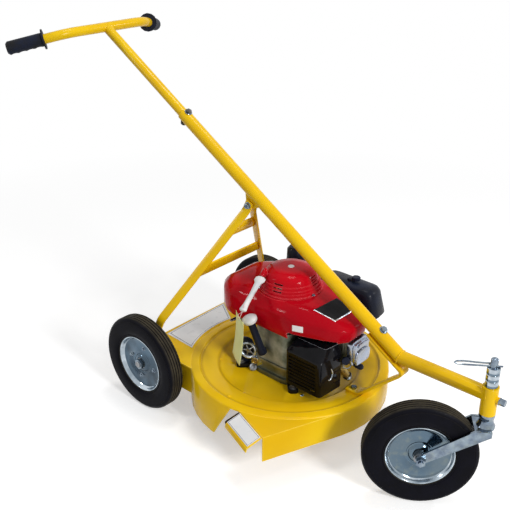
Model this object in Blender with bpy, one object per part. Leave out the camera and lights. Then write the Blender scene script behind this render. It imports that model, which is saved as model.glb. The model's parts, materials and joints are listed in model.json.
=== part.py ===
"""Three-wheel lawn mower, modelled in metres with +Z up.

Forward is -Y and the mower's right side is -X. The crank stands at x = 0, y = 0 while the pieces
are made. At the end the whole mower moves so that the middle of its box's base is the origin.
"""
import math

import bmesh
import bpy
from mathutils import Matrix, Vector

# Clearance between pieces that touch
CLEAR = 0.0003

# Wheels
TYRE_RADIUS = 0.127
TYRE_WIDTH = 0.045
RIM_RADIUS = 0.0765
AXLE_RADIUS = 0.008
WHEEL_STEPS = 28

# Deck
SHEET = 0.003
DECK_RADIUS = 0.254
SKIRT_DEPTH = 0.103
CHUTE_DEPTH = 0.069
PLATE_HALF_WIDTH = 0.200
AXLE_TO_DECK = 0.005
DECK_TOP = TYRE_RADIUS + AXLE_RADIUS + AXLE_TO_DECK + SHEET
DECK_FLOOR = DECK_TOP - 0.015
PLATE_REAR_Y = DECK_RADIUS + 0.080
REAR_AXLE_Y = DECK_RADIUS + 0.032
RIDGE_INNER = DECK_RADIUS - 0.022
STEP_RADIUS = 0.177
DECK_STEPS = 42
MOUTH_TOP_Y = -0.034
MOUTH_BOTTOM_Y = 0.026
TRIM_Y = 0.006
CHUTE_START = Vector((-0.3466 * DECK_RADIUS, -0.938 * DECK_RADIUS, 0))
CHUTE_CORNER = Vector((-DECK_RADIUS - 0.031, -DECK_RADIUS + 0.093, 0))
CHUTE_BACK = Vector((-DECK_RADIUS + 0.0055, -0.060, 0))
FLAP_REACH = 0.038
FLAP_SLOPE = math.radians(23)
WHEEL_CENTRE_X = PLATE_HALF_WIDTH + 0.0185 + TYRE_WIDTH / 2

# Caster
STEM_RADIUS = 0.008
HEAD_RADIUS = 0.0175
HEAD_HEIGHT = 0.067
SPACER_HEIGHT = 0.0152
STEER_ANGLE = math.radians(35.78)
CASTER_TRAIL = TYRE_RADIUS + 0.0046
CASTER_GAP = 0.0284
HEAD_Y = -(DECK_RADIUS + CASTER_GAP + TYRE_RADIUS + CASTER_TRAIL)
FORK_GAP = TYRE_WIDTH + 0.009
FORK_PLATE = 0.005
FRONT_BOLT_RADIUS = 0.006
HUB_RADIUS = 0.0142
CLIP_WIRE = 0.002
SET_BOLT_DROP = -0.006

# Boom and handle
BOOM_RADIUS = 0.016
BOOM_WALL = 0.003
BOOM_LENGTH = 0.810
BOOM_RISE = math.radians(32.37)
ARM_HEIGHT = DECK_TOP + 0.142
BEND_Y = -(DECK_RADIUS + 0.068)
HANDLE_RADIUS = BOOM_RADIUS - BOOM_WALL - CLEAR
HANDLE_WALL = 0.002
HANDLE_OVERLAP = 0.170
HANDLE_REACH = 0.331
BAR_HALF = 0.128
BAR_SWEEP = math.radians(36.4)
BAR_DROP = math.radians(12.4)
BAR_END = 0.151
GRIP_LENGTH = 0.097
GRIP_WALL = 0.0048

# Stays and front bracket
STAY_WIDTH = 0.022
STAY_PLATE = 0.005
STAY_STATION = 0.5148
STAY_TOP_HALF = 0.0078
LUG_DROP = 0.0155
BRACKET_WIDTH = 0.030
BRACKET_PLATE = 0.006
BRACKET_STATION = 0.0685
BOLT_RADIUS = 0.004
NUT_ROOM = 0.0095

# Engine and cutter, in heights above the deck's floor
CASE_HEIGHT = 0.136
CYLINDER_LOW_X = -0.010
CYLINDER_HIGH_X = 0.050
HEAD_FRONT_Y = -0.188
CRANK_RADIUS = 0.0125
FLYWHEEL_LOW = 0.170
FLYWHEEL_RADIUS = 0.066
BLADE_TOP = -0.062
BLADE_PLATE = 0.006
BLADE_RADIUS = DECK_RADIUS - 0.019
BLADE_PIVOT = BLADE_RADIUS - 0.100
TIP_PLATE = 0.003
COVER_LOW = 0.143
COVER_CREASE = 0.202
COVER_TOP = 0.226
COVER_WALL = 0.0025
COVER_HOLE = 0.0655
DOME_RADIUS = 0.080
ROPE_RADIUS = 0.002
GRIP_TOP = Vector((-0.068, 0.037, 0.261))
GRIP_HEADING = Vector((-0.870, -0.213, -0.444))
GRIP_TURN = (-GRIP_HEADING).to_track_quat("Z", "Y").to_euler()
TANK_NECK = Vector((0.129, 0.090, 0))
AIR_LOW = 0.144
THROTTLE_PLACE = Vector((-0.058, 0.090, 0))
OIL_FOOT = Vector((-0.0868, 0.015, 0.067))
OIL_HEADING = Vector((-0.0322, 0.012, 0.101))
OIL_TURN = OIL_HEADING.to_track_quat("Z", "Y").to_euler()
OIL_TUBE_LENGTH = 0.104

# Colour, roughness and metallic value of each finish
YELLOW_PAINT = ((0.85, 0.50, 0.02, 1.0), 0.35, 0.0)
RED_PAINT = ((0.55, 0.01, 0.02, 1.0), 0.25, 0.0)
BLACK_PAINT = ((0.012, 0.012, 0.014, 1.0), 0.4, 0.0)
BLACK_PLASTIC = ((0.02, 0.02, 0.022, 1.0), 0.5, 0.0)
GREY_PLASTIC = ((0.62, 0.65, 0.68, 1.0), 0.45, 0.0)
BLACK_RUBBER = ((0.025, 0.024, 0.022, 1.0), 0.8, 0.0)
ZINC = ((0.62, 0.68, 0.72, 1.0), 0.28, 1.0)
STEEL = ((0.55, 0.55, 0.56, 1.0), 0.35, 1.0)
CAST_ALLOY = ((0.42, 0.42, 0.40, 1.0), 0.55, 0.8)


def clear_scene():
    """Remove whatever the scene holds."""
    for old in list(bpy.data.objects):
        bpy.data.objects.remove(old, do_unlink=True)


def guide(name, parent=None, place=(0, 0, 0), turn=(0, 0, 0)):
    """An empty that carries pieces."""
    made = bpy.data.objects.new(name, None)
    bpy.context.collection.objects.link(made)
    made.parent = parent
    made.location = place
    made.rotation_euler = turn
    return made


def paint(piece, finish):
    """Give the piece its own material."""
    colour, roughness, metallic = finish
    made = bpy.data.materials.new(piece.name + "_finish")
    made.use_nodes = True
    shader = made.node_tree.nodes["Principled BSDF"]
    shader.inputs["Base Color"].default_value = colour
    shader.inputs["Roughness"].default_value = roughness
    shader.inputs["Metallic"].default_value = metallic
    made.diffuse_color = colour
    piece.data.materials.append(made)


def piece_from(name, shape, finish, parent, place=(0, 0, 0), turn=(0, 0, 0)):
    """Turn a bmesh into a named piece with its faces pointing out."""
    bmesh.ops.recalc_face_normals(shape, faces=shape.faces)
    mesh = bpy.data.meshes.new(name)
    shape.to_mesh(mesh)
    shape.free()
    mesh.shade_smooth()
    mesh.set_sharp_from_angle(angle=math.radians(32))
    made = bpy.data.objects.new(name, mesh)
    bpy.context.collection.objects.link(made)
    made.parent = parent
    made.location = place
    made.rotation_euler = turn
    paint(made, finish)
    return made


def tool_from(name, shape, parent, place=(0, 0, 0), turn=(0, 0, 0)):
    """A hidden shape that only cuts or adds to a piece."""
    made = piece_from(name, shape, STEEL, parent, place, turn)
    made.hide_render = True
    made.display_type = "WIRE"
    return made


def combine(piece, tool, operation):
    """Cut the tool out of the piece, or weld it on."""
    step = piece.modifiers.new(tool.name, "BOOLEAN")
    step.solver = "EXACT"
    step.operation = operation
    step.object = tool


def cut(piece, tool):
    combine(piece, tool, "DIFFERENCE")


def weld(piece, tool):
    combine(piece, tool, "UNION")


def turned(outline, steps, turn=None):
    """A solid turned about Z from a closed outline of (radius, height) points."""
    shape = bmesh.new()
    points = [shape.verts.new((radius, 0, height)) for radius, height in outline]
    edges = []
    for index, (radius, _) in enumerate(outline):
        if max(radius, outline[index - 1][0]) > 0:
            edges.append(shape.edges.new((points[index - 1], points[index])))
    bmesh.ops.spin(
        shape,
        geom=points + edges,
        cent=(0, 0, 0),
        axis=(0, 0, 1),
        angle=math.tau,
        steps=steps,
        use_merge=True,
    )
    bmesh.ops.remove_doubles(shape, verts=shape.verts, dist=0.00001)
    if turn:
        bmesh.ops.transform(shape, matrix=turn, verts=shape.verts)
    return shape


def extruded(outline, low, high, turn=None):
    """A flat outline of (x, y) points pulled up from low to high."""
    shape = bmesh.new()
    face = shape.faces.new([shape.verts.new((x, y, low)) for x, y in outline])
    pulled = bmesh.ops.extrude_face_region(shape, geom=[face], use_keep_orig=True)
    top = [item for item in pulled["geom"] if isinstance(item, bmesh.types.BMVert)]
    bmesh.ops.translate(shape, verts=top, vec=(0, 0, high - low))
    if turn:
        bmesh.ops.transform(shape, matrix=turn, verts=shape.verts)
    return shape


def lofted(rings, closed=False):
    """Skin a row of rings that have the same number of points, and cap its two ends."""
    shape = bmesh.new()
    made = [[shape.verts.new(point) for point in ring] for ring in rings]
    pairs = list(zip(made, made[1:]))
    if closed:
        pairs.append((made[-1], made[0]))
    for first, second in pairs:
        for index in range(len(first)):
            shape.faces.new((first[index - 1], first[index], second[index], second[index - 1]))
    if not closed:
        shape.faces.new(made[0])
        shape.faces.new(made[-1])
    return shape


def block(low, high):
    """A box between two corners."""
    shape = bmesh.new()
    bmesh.ops.create_cube(shape, size=1.0)
    size = Vector(high) - Vector(low)
    middle = (Vector(high) + Vector(low)) / 2
    bmesh.ops.scale(shape, vec=size, verts=shape.verts)
    bmesh.ops.translate(shape, vec=middle, verts=shape.verts)
    return shape


def rod(radius, low, high, steps=16, turn=None):
    """A round bar along Z."""
    outline = [(0, low), (radius, low), (radius, high), (0, high)]
    return turned(outline, steps, turn)


def pipe(outer, inner, low, high, steps=16, turn=None):
    """A round tube along Z."""
    outline = [(inner, low), (outer, low), (outer, high), (inner, high)]
    return turned(outline, steps, turn)


def rounded(corners, radius, steps=3):
    """The outline through the corners, with each corner turned by an arc."""
    points = []
    for index, corner in enumerate(corners):
        here = Vector(corner)
        before = Vector(corners[index - 1]) - here
        after = Vector(corners[(index + 1) % len(corners)]) - here
        half = before.angle(after) / 2
        reach = min(radius / math.tan(half), before.length * 0.49, after.length * 0.49)
        start = here + before.normalized() * reach
        end = here + after.normalized() * reach
        for step in range(steps + 1):
            share = step / steps
            points.append(tuple(bezier(start, here, end, share)))
    return points


def bezier(start, middle, end, share):
    """A point of the smooth curve that leaves start and reaches end, both aimed at middle."""
    return start.lerp(middle, share).lerp(middle.lerp(end, share), share)


def flat_bar(path, thickness, width, bend_radius=0.012):
    """A flat bar that follows a path of (x, y) points, with its width along Z."""
    line = [Vector(path[0])]
    for before, here, after in zip(path, path[1:], path[2:]):
        here = Vector(here)
        back = (Vector(before) - here).normalized() * bend_radius
        ahead = (Vector(after) - here).normalized() * bend_radius
        line += [bezier(here + back, here, here + ahead, share / 4) for share in range(5)]
    line.append(Vector(path[-1]))
    left, right = [], []
    for index, here in enumerate(line):
        ahead = (line[min(index + 1, len(line) - 1)] - here)
        behind = (here - line[max(index - 1, 0)])
        heading = (ahead.normalized() + behind.normalized()).normalized()
        side = Vector((-heading.y, heading.x))
        lean = max(ahead.normalized().dot(heading), behind.normalized().dot(heading))
        offset = side * (thickness / 2 / lean)
        left.append(tuple(here + offset))
        right.append(tuple(here - offset))
    return extruded(left + right[::-1], -width / 2, width / 2)


def bolt_shape(length, head_across, head_height, radius=BOLT_RADIUS):
    """A hex bolt along Z: its head sits on z = 0 and its shank runs down."""
    steps = 12
    rings = []
    for height in (head_height, 0.0):
        ring = []
        for index in range(steps):
            angle = math.tau * index / steps
            reach = head_across / 2 if index % 2 else head_across / 2 / math.cos(math.pi / 6)
            ring.append((reach * math.cos(angle), reach * math.sin(angle), height))
        rings.append(ring)
    for height in (0.0, -length):
        ring = []
        for index in range(steps):
            angle = math.tau * index / steps
            ring.append((radius * math.cos(angle), radius * math.sin(angle), height))
        rings.append(ring)
    return lofted(rings)


def nut_shape(across, height, bore):
    """A hex nut along Z, between z = 0 and its height."""
    steps = 12
    rings = []
    for level, is_bore in ((0.0, False), (height, False), (height, True), (0.0, True)):
        ring = []
        for index in range(steps):
            angle = math.tau * index / steps
            reach = across / 2 if index % 2 else across / 2 / math.cos(math.pi / 6)
            if is_bore:
                reach = bore
            ring.append((reach * math.cos(angle), reach * math.sin(angle), level))
        rings.append(ring)
    return lofted(rings, closed=True)


def add_shape(shape, other):
    """Put a second, separate solid into the same bmesh."""
    spare = bpy.data.meshes.new("spare")
    other.to_mesh(spare)
    other.free()
    shape.from_mesh(spare)
    bpy.data.meshes.remove(spare)
    return shape


ALONG_X = Matrix.Rotation(math.radians(90), 4, "Y")
ALONG_Y = Matrix.Rotation(math.radians(-90), 4, "X")
YZ_PLANE = Matrix(((0, 0, 1, 0), (1, 0, 0, 0), (0, 1, 0, 0), (0, 0, 0, 1)))
XZ_PLANE = Matrix(((1, 0, 0, 0), (0, 0, 1, 0), (0, 1, 0, 0), (0, 0, 0, 1)))

# Heights and places worked out from the sizes above
HEAD_LOW = ARM_HEIGHT - 0.045
HEAD_TOP = HEAD_LOW + HEAD_HEIGHT
CLIP_HEIGHT = HEAD_TOP + 3 * (SPACER_HEIGHT + CLEAR) + CLEAR + 0.0020
STEM_TOP = CLIP_HEIGHT + 0.018
CROWN_LOW = HEAD_LOW - 0.036
CROWN_TOP = CROWN_LOW + 0.006
BAR_STATION = BOOM_LENGTH + HANDLE_REACH + 0.009
BAND_TOP = DECK_TOP - 0.004


def boom_point(station, below=0.0):
    """Where a point along the boom, and below its middle line, lies in the mower's frame."""
    along = Vector((0, math.cos(BOOM_RISE), math.sin(BOOM_RISE)))
    down = Vector((0, math.sin(BOOM_RISE), -math.cos(BOOM_RISE)))
    return Vector((0, BEND_Y, ARM_HEIGHT)) + along * station + down * below


STAY_BOLT = boom_point(STAY_STATION, BOOM_RADIUS + LUG_DROP)
STAY_FOOT_Y = PLATE_REAR_Y - 0.026
STAY_LEAN = math.atan2(STAY_FOOT_Y - STAY_BOLT.y, STAY_BOLT.z - DECK_TOP)
STAY_LENGTH = (STAY_BOLT.z - DECK_TOP) / math.cos(STAY_LEAN)
STAY_FOOT_X = PLATE_HALF_WIDTH - STAY_PLATE / 2 - 0.0015
STAY_INNER_X = STAY_TOP_HALF + CLEAR + STAY_PLATE / 2
STAY_BEND = STAY_LENGTH - 0.105
STAY_KNEE = 0.016


def mitred_pipe(outer, inner, length, slope, steps=18):
    """A tube along Z whose lower end is cut on a slope, to meet the next tube."""
    rings = []
    for radius, top in ((outer, False), (outer, True), (inner, True), (inner, False)):
        ring = []
        for index in range(steps):
            angle = math.tau * index / steps
            x = radius * math.cos(angle)
            y = radius * math.sin(angle)
            ring.append((x, y, length if top else slope * y + CLEAR))
        rings.append(ring)
    return lofted(rings, closed=True)


def make_boom(boom):
    """The long tube, with the lug that holds the rear stays."""
    slope = -math.tan(BOOM_RISE / 2)
    tube = mitred_pipe(BOOM_RADIUS, BOOM_RADIUS - BOOM_WALL, BOOM_LENGTH, slope)
    tube = piece_from("boom_tube", tube, YELLOW_PAINT, boom)
    below = BOOM_RADIUS + LUG_DROP
    corners = [(BOOM_RADIUS - 0.0015, STAY_STATION - 0.026), (BOOM_RADIUS - 0.0015, STAY_STATION + 0.026)]
    for index in range(7):
        angle = math.radians(150 - 120 * index / 6 - 90)
        corners.append((below + 0.010 * math.cos(angle), STAY_STATION + 0.010 * math.sin(angle)))
    lug = extruded(corners, -STAY_TOP_HALF, STAY_TOP_HALF, YZ_PLANE)
    weld(tube, tool_from("lug_shape", lug, boom))
    hole = rod(BOLT_RADIUS + CLEAR, -0.05, 0.05, 16, ALONG_X)
    cut(tube, tool_from("stay_bolt_hole", hole, boom, (0, below, STAY_STATION)))
    for name, station in (("bracket_bolt_hole", BRACKET_STATION), ("handle_bolt_hole", BOOM_LENGTH - 0.012)):
        hole = rod(BOLT_RADIUS + CLEAR, -0.05, 0.05, 16, ALONG_Y)
        cut(tube, tool_from(name, hole, boom, (0, 0, station)))
    return tube


def make_front_arm(arm):
    """The level tube, the caster head and the boss of the set bolt."""
    length = BEND_Y - HEAD_Y
    end = length - 0.004
    tube = mitred_pipe(BOOM_RADIUS, BOOM_RADIUS - BOOM_WALL, end, math.tan(BOOM_RISE / 2))
    tube = piece_from("front_arm", tube, YELLOW_PAINT, arm)
    head = rod(HEAD_RADIUS, HEAD_LOW - ARM_HEIGHT, HEAD_TOP - ARM_HEIGHT, 32, ALONG_Y)
    weld(tube, tool_from("head_shape", head, arm, (0, 0, length)))
    boss = rod(0.008, HEAD_RADIUS - 0.006, HEAD_RADIUS + 0.006, 16)
    weld(tube, tool_from("boss_shape", boss, arm, (0, SET_BOLT_DROP, length)))
    half_step = Matrix.Rotation(math.pi / 32, 4, "Z")
    bore = rod(STEM_RADIUS + CLEAR, -0.2, 0.2, 32, ALONG_Y @ half_step)
    cut(tube, tool_from("head_bore", bore, arm, (0, 0, length)))
    hole = rod(BOLT_RADIUS + CLEAR, 0.001, 0.05, 16)
    cut(tube, tool_from("set_bolt_hole", hole, arm, (0, SET_BOLT_DROP, length)))


def make_set_bolt(root):
    """The bolt that locks the caster's stem."""
    reach = HEAD_RADIUS + 0.006 + CLEAR
    shape = bolt_shape(reach - STEM_RADIUS - CLEAR, 0.013, 0.012)
    bmesh.ops.transform(shape, matrix=Matrix.Rotation(math.radians(90), 4, "X"), verts=shape.verts)
    place = (0, HEAD_Y - reach, ARM_HEIGHT + SET_BOLT_DROP)
    piece_from("set_bolt", shape, ZINC, root, place)


def make_handle_tube(boom):
    """The tube that slides in the boom and carries the handlebar."""
    low = BOOM_LENGTH - HANDLE_OVERLAP
    shape = pipe(HANDLE_RADIUS, HANDLE_RADIUS - HANDLE_WALL, low, BAR_STATION, 18)
    tube = piece_from("handle_tube", shape, YELLOW_PAINT, boom)
    saddle = rod(HANDLE_RADIUS + CLEAR, -0.04, 0.04, 24, ALONG_X)
    cut(tube, tool_from("saddle_shape", saddle, boom, (0, 0, BAR_STATION)))
    hole = rod(BOLT_RADIUS + CLEAR, -0.05, 0.05, 16, ALONG_Y)
    cut(tube, tool_from("handle_tube_hole", hole, boom, (0, 0, BOOM_LENGTH - 0.012)))
    spare = rod(BOLT_RADIUS + CLEAR, 0.002, 0.05, 16, ALONG_Y)
    cut(tube, tool_from("spare_hole", spare, boom, (0, 0, BOOM_LENGTH + 0.174)))


def smooth_path(path, bend_radius, steps):
    """The path's points, with each inner corner turned into a curve."""
    line = [Vector(path[0])]
    for before, here, after in zip(path, path[1:], path[2:]):
        here = Vector(here)
        back = here + (Vector(before) - here).normalized() * bend_radius
        ahead = here + (Vector(after) - here).normalized() * bend_radius
        line += [bezier(back, here, ahead, share / steps) for share in range(steps + 1)]
    line.append(Vector(path[-1]))
    return line


def bent_pipe(path, outer, inner, bend_radius, steps=14):
    """A round tube along a flat path of (x, y) points."""
    line = smooth_path(path, bend_radius, 4)
    walls = []
    for radius in (outer, inner):
        rings = []
        for index, here in enumerate(line):
            ahead = (line[min(index + 1, len(line) - 1)] - here).normalized()
            behind = (here - line[max(index - 1, 0)]).normalized()
            heading = (ahead + behind).normalized()
            side = Vector((-heading.y, heading.x))
            ring = []
            for step in range(steps):
                angle = math.tau * step / steps
                point = here + side * (radius * math.cos(angle))
                ring.append((point.x, point.y, radius * math.sin(angle)))
            rings.append(ring)
        walls.append(rings)
    return lofted(walls[0] + walls[1][::-1], closed=True)


def make_handlebar(bar):
    """The crossbar with its swept ends, and a finger grip on each."""
    bend = math.acos(math.cos(BAR_SWEEP) * math.cos(BAR_DROP))
    end = (BAR_HALF + BAR_END * math.cos(bend), BAR_END * math.sin(bend))
    path = [(-end[0], end[1]), (-BAR_HALF, 0), (BAR_HALF, 0), end]
    shape = bent_pipe(path, HANDLE_RADIUS, HANDLE_RADIUS - HANDLE_WALL, 0.035)
    piece_from("handlebar", shape, YELLOW_PAINT, bar)
    for name, side in (("grip_right", -1), ("grip_left", 1)):
        turn = bend if side > 0 else math.pi - bend
        place = (side * end[0], end[1], 0)
        grip = piece_from(name, grip_shape(), BLACK_RUBBER, bar, place, (0, 0, turn))
        bore = rod((HANDLE_RADIUS + CLEAR) / math.cos(math.pi / 16), -0.2, CLEAR, 16, ALONG_X)
        cut(grip, tool_from(name + "_bore", bore, bar, place, (0, 0, turn)))


def grip_shape(steps=14):
    """A grip along +X that ends just past the bar: a flange, and four finger hollows underneath."""
    tip = CLEAR + 0.003
    start = tip - GRIP_LENGTH
    sleeve = HANDLE_RADIUS + GRIP_WALL
    flange = sleeve + 0.008
    outer = [(start, flange, 0), (start + 0.004, flange, 0), (start + 0.005, sleeve, 0)]
    hollows = 12
    for index in range(hollows + 1):
        share = index / hollows
        along = start + 0.009 + (GRIP_LENGTH - 0.014) * share
        outer.append((along, sleeve, 0.0022 * math.sin(4 * math.pi * share) ** 2))
    outer.append((tip, HANDLE_RADIUS + 0.0003, 0))
    rings = []
    for x, radius, hollow in outer:
        ring = []
        for step in range(steps):
            angle = math.tau * step / steps
            under = max(0.0, -math.sin(angle))
            reach = radius - hollow * under
            ring.append((x, reach * math.cos(angle), reach * math.sin(angle)))
        rings.append(ring)
    return lofted(rings)


def stay_x(along):
    """How far out the middle of a stay is, this far down it."""
    share = (along - STAY_KNEE) / (STAY_BEND - STAY_KNEE)
    return STAY_INNER_X + (STAY_FOOT_X - STAY_INNER_X) * share


def make_stays(plane, root):
    """Two bent flat bars from the boom's lug to the deck, and the two bars across them."""
    for name, side in (("rear_stay_right", -1), ("rear_stay_left", 1)):
        path = [
            (side * STAY_INNER_X, -0.011),
            (side * STAY_INNER_X, STAY_KNEE),
            (side * STAY_FOOT_X, STAY_BEND),
            (side * STAY_FOOT_X, STAY_LENGTH + 0.030),
        ]
        stay = piece_from(name, flat_bar(path, STAY_PLATE, STAY_WIDTH), YELLOW_PAINT, plane)
        hole = rod(BOLT_RADIUS + CLEAR, -0.05, 0.05, 16, ALONG_X)
        cut(stay, tool_from(name + "_hole", hole, plane))
        below = block((-0.3, STAY_FOOT_Y - 0.08, 0), (0.3, STAY_FOOT_Y + 0.08, DECK_TOP + CLEAR))
        cut(stay, tool_from(name + "_cut", below, root))
    slope = (STAY_FOOT_X - STAY_INNER_X) / (STAY_BEND - STAY_KNEE)
    inset = STAY_PLATE / 2 * math.hypot(1, slope) + CLEAR
    for name, along in (("stay_crossbar_upper", 0.0736), ("stay_crossbar_lower", 0.190)):
        high = along - STAY_WIDTH / 2
        low = along + STAY_WIDTH / 2
        outline = [
            (-stay_x(high) + inset, high),
            (stay_x(high) - inset, high),
            (stay_x(low) - inset, low),
            (-stay_x(low) + inset, low),
        ]
        piece_from(name, extruded(outline, -STAY_PLATE / 2, STAY_PLATE / 2), YELLOW_PAINT, plane)


BRACKET_FOOT_Y = -(DECK_RADIUS - 0.032)
BRACKET_BOLT_Y = BRACKET_FOOT_Y + 0.019


def make_front_bracket(root):
    """The bent strap from the boom's underside down to the deck."""
    below = BOOM_RADIUS + CLEAR + BRACKET_PLATE / 2
    top = boom_point(BRACKET_STATION + 0.018, below)
    apex = boom_point(-0.034, below)
    foot_z = BAND_TOP + CLEAR + BRACKET_PLATE / 2
    path = [top.yz, apex.yz, (BRACKET_FOOT_Y, foot_z), (BRACKET_FOOT_Y + 0.034, foot_z)]
    shape = flat_bar(path, BRACKET_PLATE, BRACKET_WIDTH, 0.014)
    bmesh.ops.transform(shape, matrix=YZ_PLANE, verts=shape.verts)
    strap = piece_from("front_bracket", shape, YELLOW_PAINT, root)
    hole = rod(BOLT_RADIUS + CLEAR, -0.05, 0.05, 16, ALONG_Y)
    turn = (BOOM_RISE - math.pi / 2, 0, 0)
    cut(strap, tool_from("strap_top_hole", hole, root, boom_point(BRACKET_STATION), turn))
    hole = rod(BOLT_RADIUS + CLEAR, -0.02, 0.02, 16)
    cut(strap, tool_from("strap_foot_hole", hole, root, (0, BRACKET_BOLT_Y, foot_z)))


def make_frame_bolts(boom, root):
    """The through bolts of the handle, the stays, the bracket and the deck."""
    down = Matrix.Rotation(math.radians(90), 4, "X")
    grip = 2 * BOOM_RADIUS + 2 * CLEAR
    places = (
        ("handle_bolt", BOOM_LENGTH - 0.012, grip, BLACK_PAINT),
        ("bracket_bolt", BRACKET_STATION, grip + BRACKET_PLATE + CLEAR, ZINC),
    )
    for name, station, thick, finish in places:
        shape = bolt_shape(thick + NUT_ROOM, 0.013, 0.0055)
        bmesh.ops.transform(shape, matrix=down, verts=shape.verts)
        piece_from(name, shape, finish, boom, (0, -BOOM_RADIUS - CLEAR, station))
    half = STAY_INNER_X + STAY_PLATE / 2 + CLEAR
    shape = bolt_shape(2 * half + NUT_ROOM, 0.013, 0.0055)
    bmesh.ops.transform(shape, matrix=ALONG_X, verts=shape.verts)
    bmesh.ops.translate(shape, vec=(half, 0, 0), verts=shape.verts)
    piece_from("stay_bolt", shape, ZINC, boom, (0, BOOM_RADIUS + LUG_DROP, STAY_STATION))
    shape = bolt_shape(BRACKET_PLATE + 2 * CLEAR + SHEET + NUT_ROOM, 0.013, 0.0055)
    piece_from("deck_bolt", shape, ZINC, root, (0, BRACKET_BOLT_Y, BAND_TOP + BRACKET_PLATE + 2 * CLEAR))


def make_fork(caster):
    """The stem, its pressed cone, the crown and the two legs, welded together."""
    front = 0.010
    surface = math.sqrt(TYRE_RADIUS**2 - (CROWN_LOW - TYRE_RADIUS) ** 2)
    back = CASTER_TRAIL - surface - 0.005
    outer_x = FORK_GAP / 2 + FORK_PLATE
    cone_top = HEAD_LOW - CLEAR
    outline = [
        (0, CROWN_LOW),
        (0.0200, CROWN_LOW),
        (0.0205, CROWN_TOP),
        (0.0168, CROWN_TOP + 0.006),
        (0.0155, CROWN_TOP + 0.014),
        (0.0160, cone_top - 0.009),
        (HEAD_RADIUS, cone_top - 0.007),
        (HEAD_RADIUS, cone_top),
        (STEM_RADIUS, cone_top),
        (STEM_RADIUS, STEM_TOP - 0.0015),
        (STEM_RADIUS - 0.0015, STEM_TOP),
        (0, STEM_TOP),
    ]
    fork = piece_from("fork", turned(outline, 24), ZINC, caster)
    crown = block((-outer_x, -front, CROWN_LOW), (outer_x, back, CROWN_TOP))
    weld(fork, tool_from("crown_shape", crown, caster))
    hub_radius = 0.011
    run = CASTER_TRAIL - back / 2
    fall = CROWN_LOW - TYRE_RADIUS
    slope = math.atan2(fall, run)
    outline = [(-front, CROWN_LOW - 0.006), (-front, CROWN_TOP + 0.001), (back, CROWN_TOP + 0.001)]
    for index in range(7):
        angle = math.pi / 2 - slope - math.pi * index / 6
        y = CASTER_TRAIL + hub_radius * math.cos(angle)
        outline.append((y, TYRE_RADIUS + hub_radius * math.sin(angle)))
    for name, side in (("right_leg_shape", -1), ("left_leg_shape", 1)):
        inner, outer = sorted((side * FORK_GAP / 2, side * (outer_x - 0.0001)))
        weld(fork, tool_from(name, extruded(outline, inner, outer, YZ_PLANE), caster))
    hole = rod(FRONT_BOLT_RADIUS + CLEAR, -0.05, 0.05, 16, ALONG_X)
    cut(fork, tool_from("axle_bolt_hole", hole, caster, (0, CASTER_TRAIL, TYRE_RADIUS)))
    hole = rod(CLIP_WIRE + CLEAR, -0.03, 0.03, 12, ALONG_Y)
    cut(fork, tool_from("clip_hole", hole, caster, (0, 0, CLIP_HEIGHT)))


def make_spacers(caster):
    """Three rings on the stem that set the cutting height."""
    for index, name in enumerate(("spacer_low", "spacer_middle", "spacer_top")):
        low = HEAD_TOP + CLEAR + index * (SPACER_HEIGHT + CLEAR)
        high = low + SPACER_HEIGHT
        outline = [
            (STEM_RADIUS + CLEAR, low),
            (0.0130, low),
            (0.0142, low + 0.0012),
            (0.0142, high - 0.0012),
            (0.0130, high),
            (STEM_RADIUS + CLEAR, high),
        ]
        piece_from(name, turned(outline, 18), ZINC, caster)


def make_clip(caster):
    """The hairpin clip: one leg through the stem, the other round its side."""
    out = STEM_RADIUS + CLIP_WIRE
    points = [
        (0, -out - 0.008),
        (0, out + 0.008),
        (0, 0.060),
        (0.002, 0.074),
        (0.007, 0.079),
        (0.012, 0.074),
        (0.014, 0.060),
        (out + 0.0010, 0.026),
        (out + 0.0006, 0.014),
        (out + 0.0012, 0.000),
        (out + 0.0030, -0.008),
    ]
    path = [Vector((x, y, 0)) for x, y in points]
    rings = []
    for index, here in enumerate(path):
        heading = path[min(index + 1, len(path) - 1)] - path[max(index - 1, 0)]
        side = Vector((heading.y, -heading.x, 0)).normalized()
        ring = []
        for step in range(8):
            angle = math.tau * step / 8
            up = Vector((0, 0, math.sin(angle)))
            ring.append(here + (side * math.cos(angle) + up) * CLIP_WIRE)
        rings.append(ring)
    piece_from("hitch_clip", lofted(rings), ZINC, caster, (0, 0, CLIP_HEIGHT))


def tyre_outline():
    """The closed section of a tyre as (radius, along the axle) points, with three tread grooves."""
    half = TYRE_WIDTH / 2
    tread = TYRE_RADIUS
    section = [
        (RIM_RADIUS + CLEAR, -half + 0.005),
        (RIM_RADIUS + 0.004, -half + 0.003),
        (RIM_RADIUS + 0.020, -half),
        (tread - 0.008, -half),
        (tread - 0.002, -half + 0.002),
        (tread, -half + 0.005),
    ]
    groove = 0.0022
    for middle in (-0.0105, 0.0, 0.0105):
        section += [(tread, middle - 0.002), (tread - groove, middle), (tread, middle + 0.002)]
    section += [(radius, -along) for radius, along in section[:6][::-1]]
    return section


def rim_outline():
    """The closed section of a pressed rim: a bead band, a dished web and the hub socket."""
    lip = TYRE_WIDTH / 2 - 0.004
    band = RIM_RADIUS
    socket = HUB_RADIUS + CLEAR
    return [
        (band, -lip),
        (band, lip),
        (band - 0.0035, lip),
        (band - 0.0060, 0.0105),
        (0.0600, 0.0065),
        (0.0290, 0.0065),
        (0.0235, 0.0110),
        (socket + 0.002, 0.0120),
        (socket, 0.0120),
        (socket, -0.0100),
        (0.0200, -0.0100),
        (0.0240, 0.0030),
        (0.0600, 0.0030),
        (band - 0.0035, 0.0000),
        (band - 0.0035, -lip),
    ]


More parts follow.
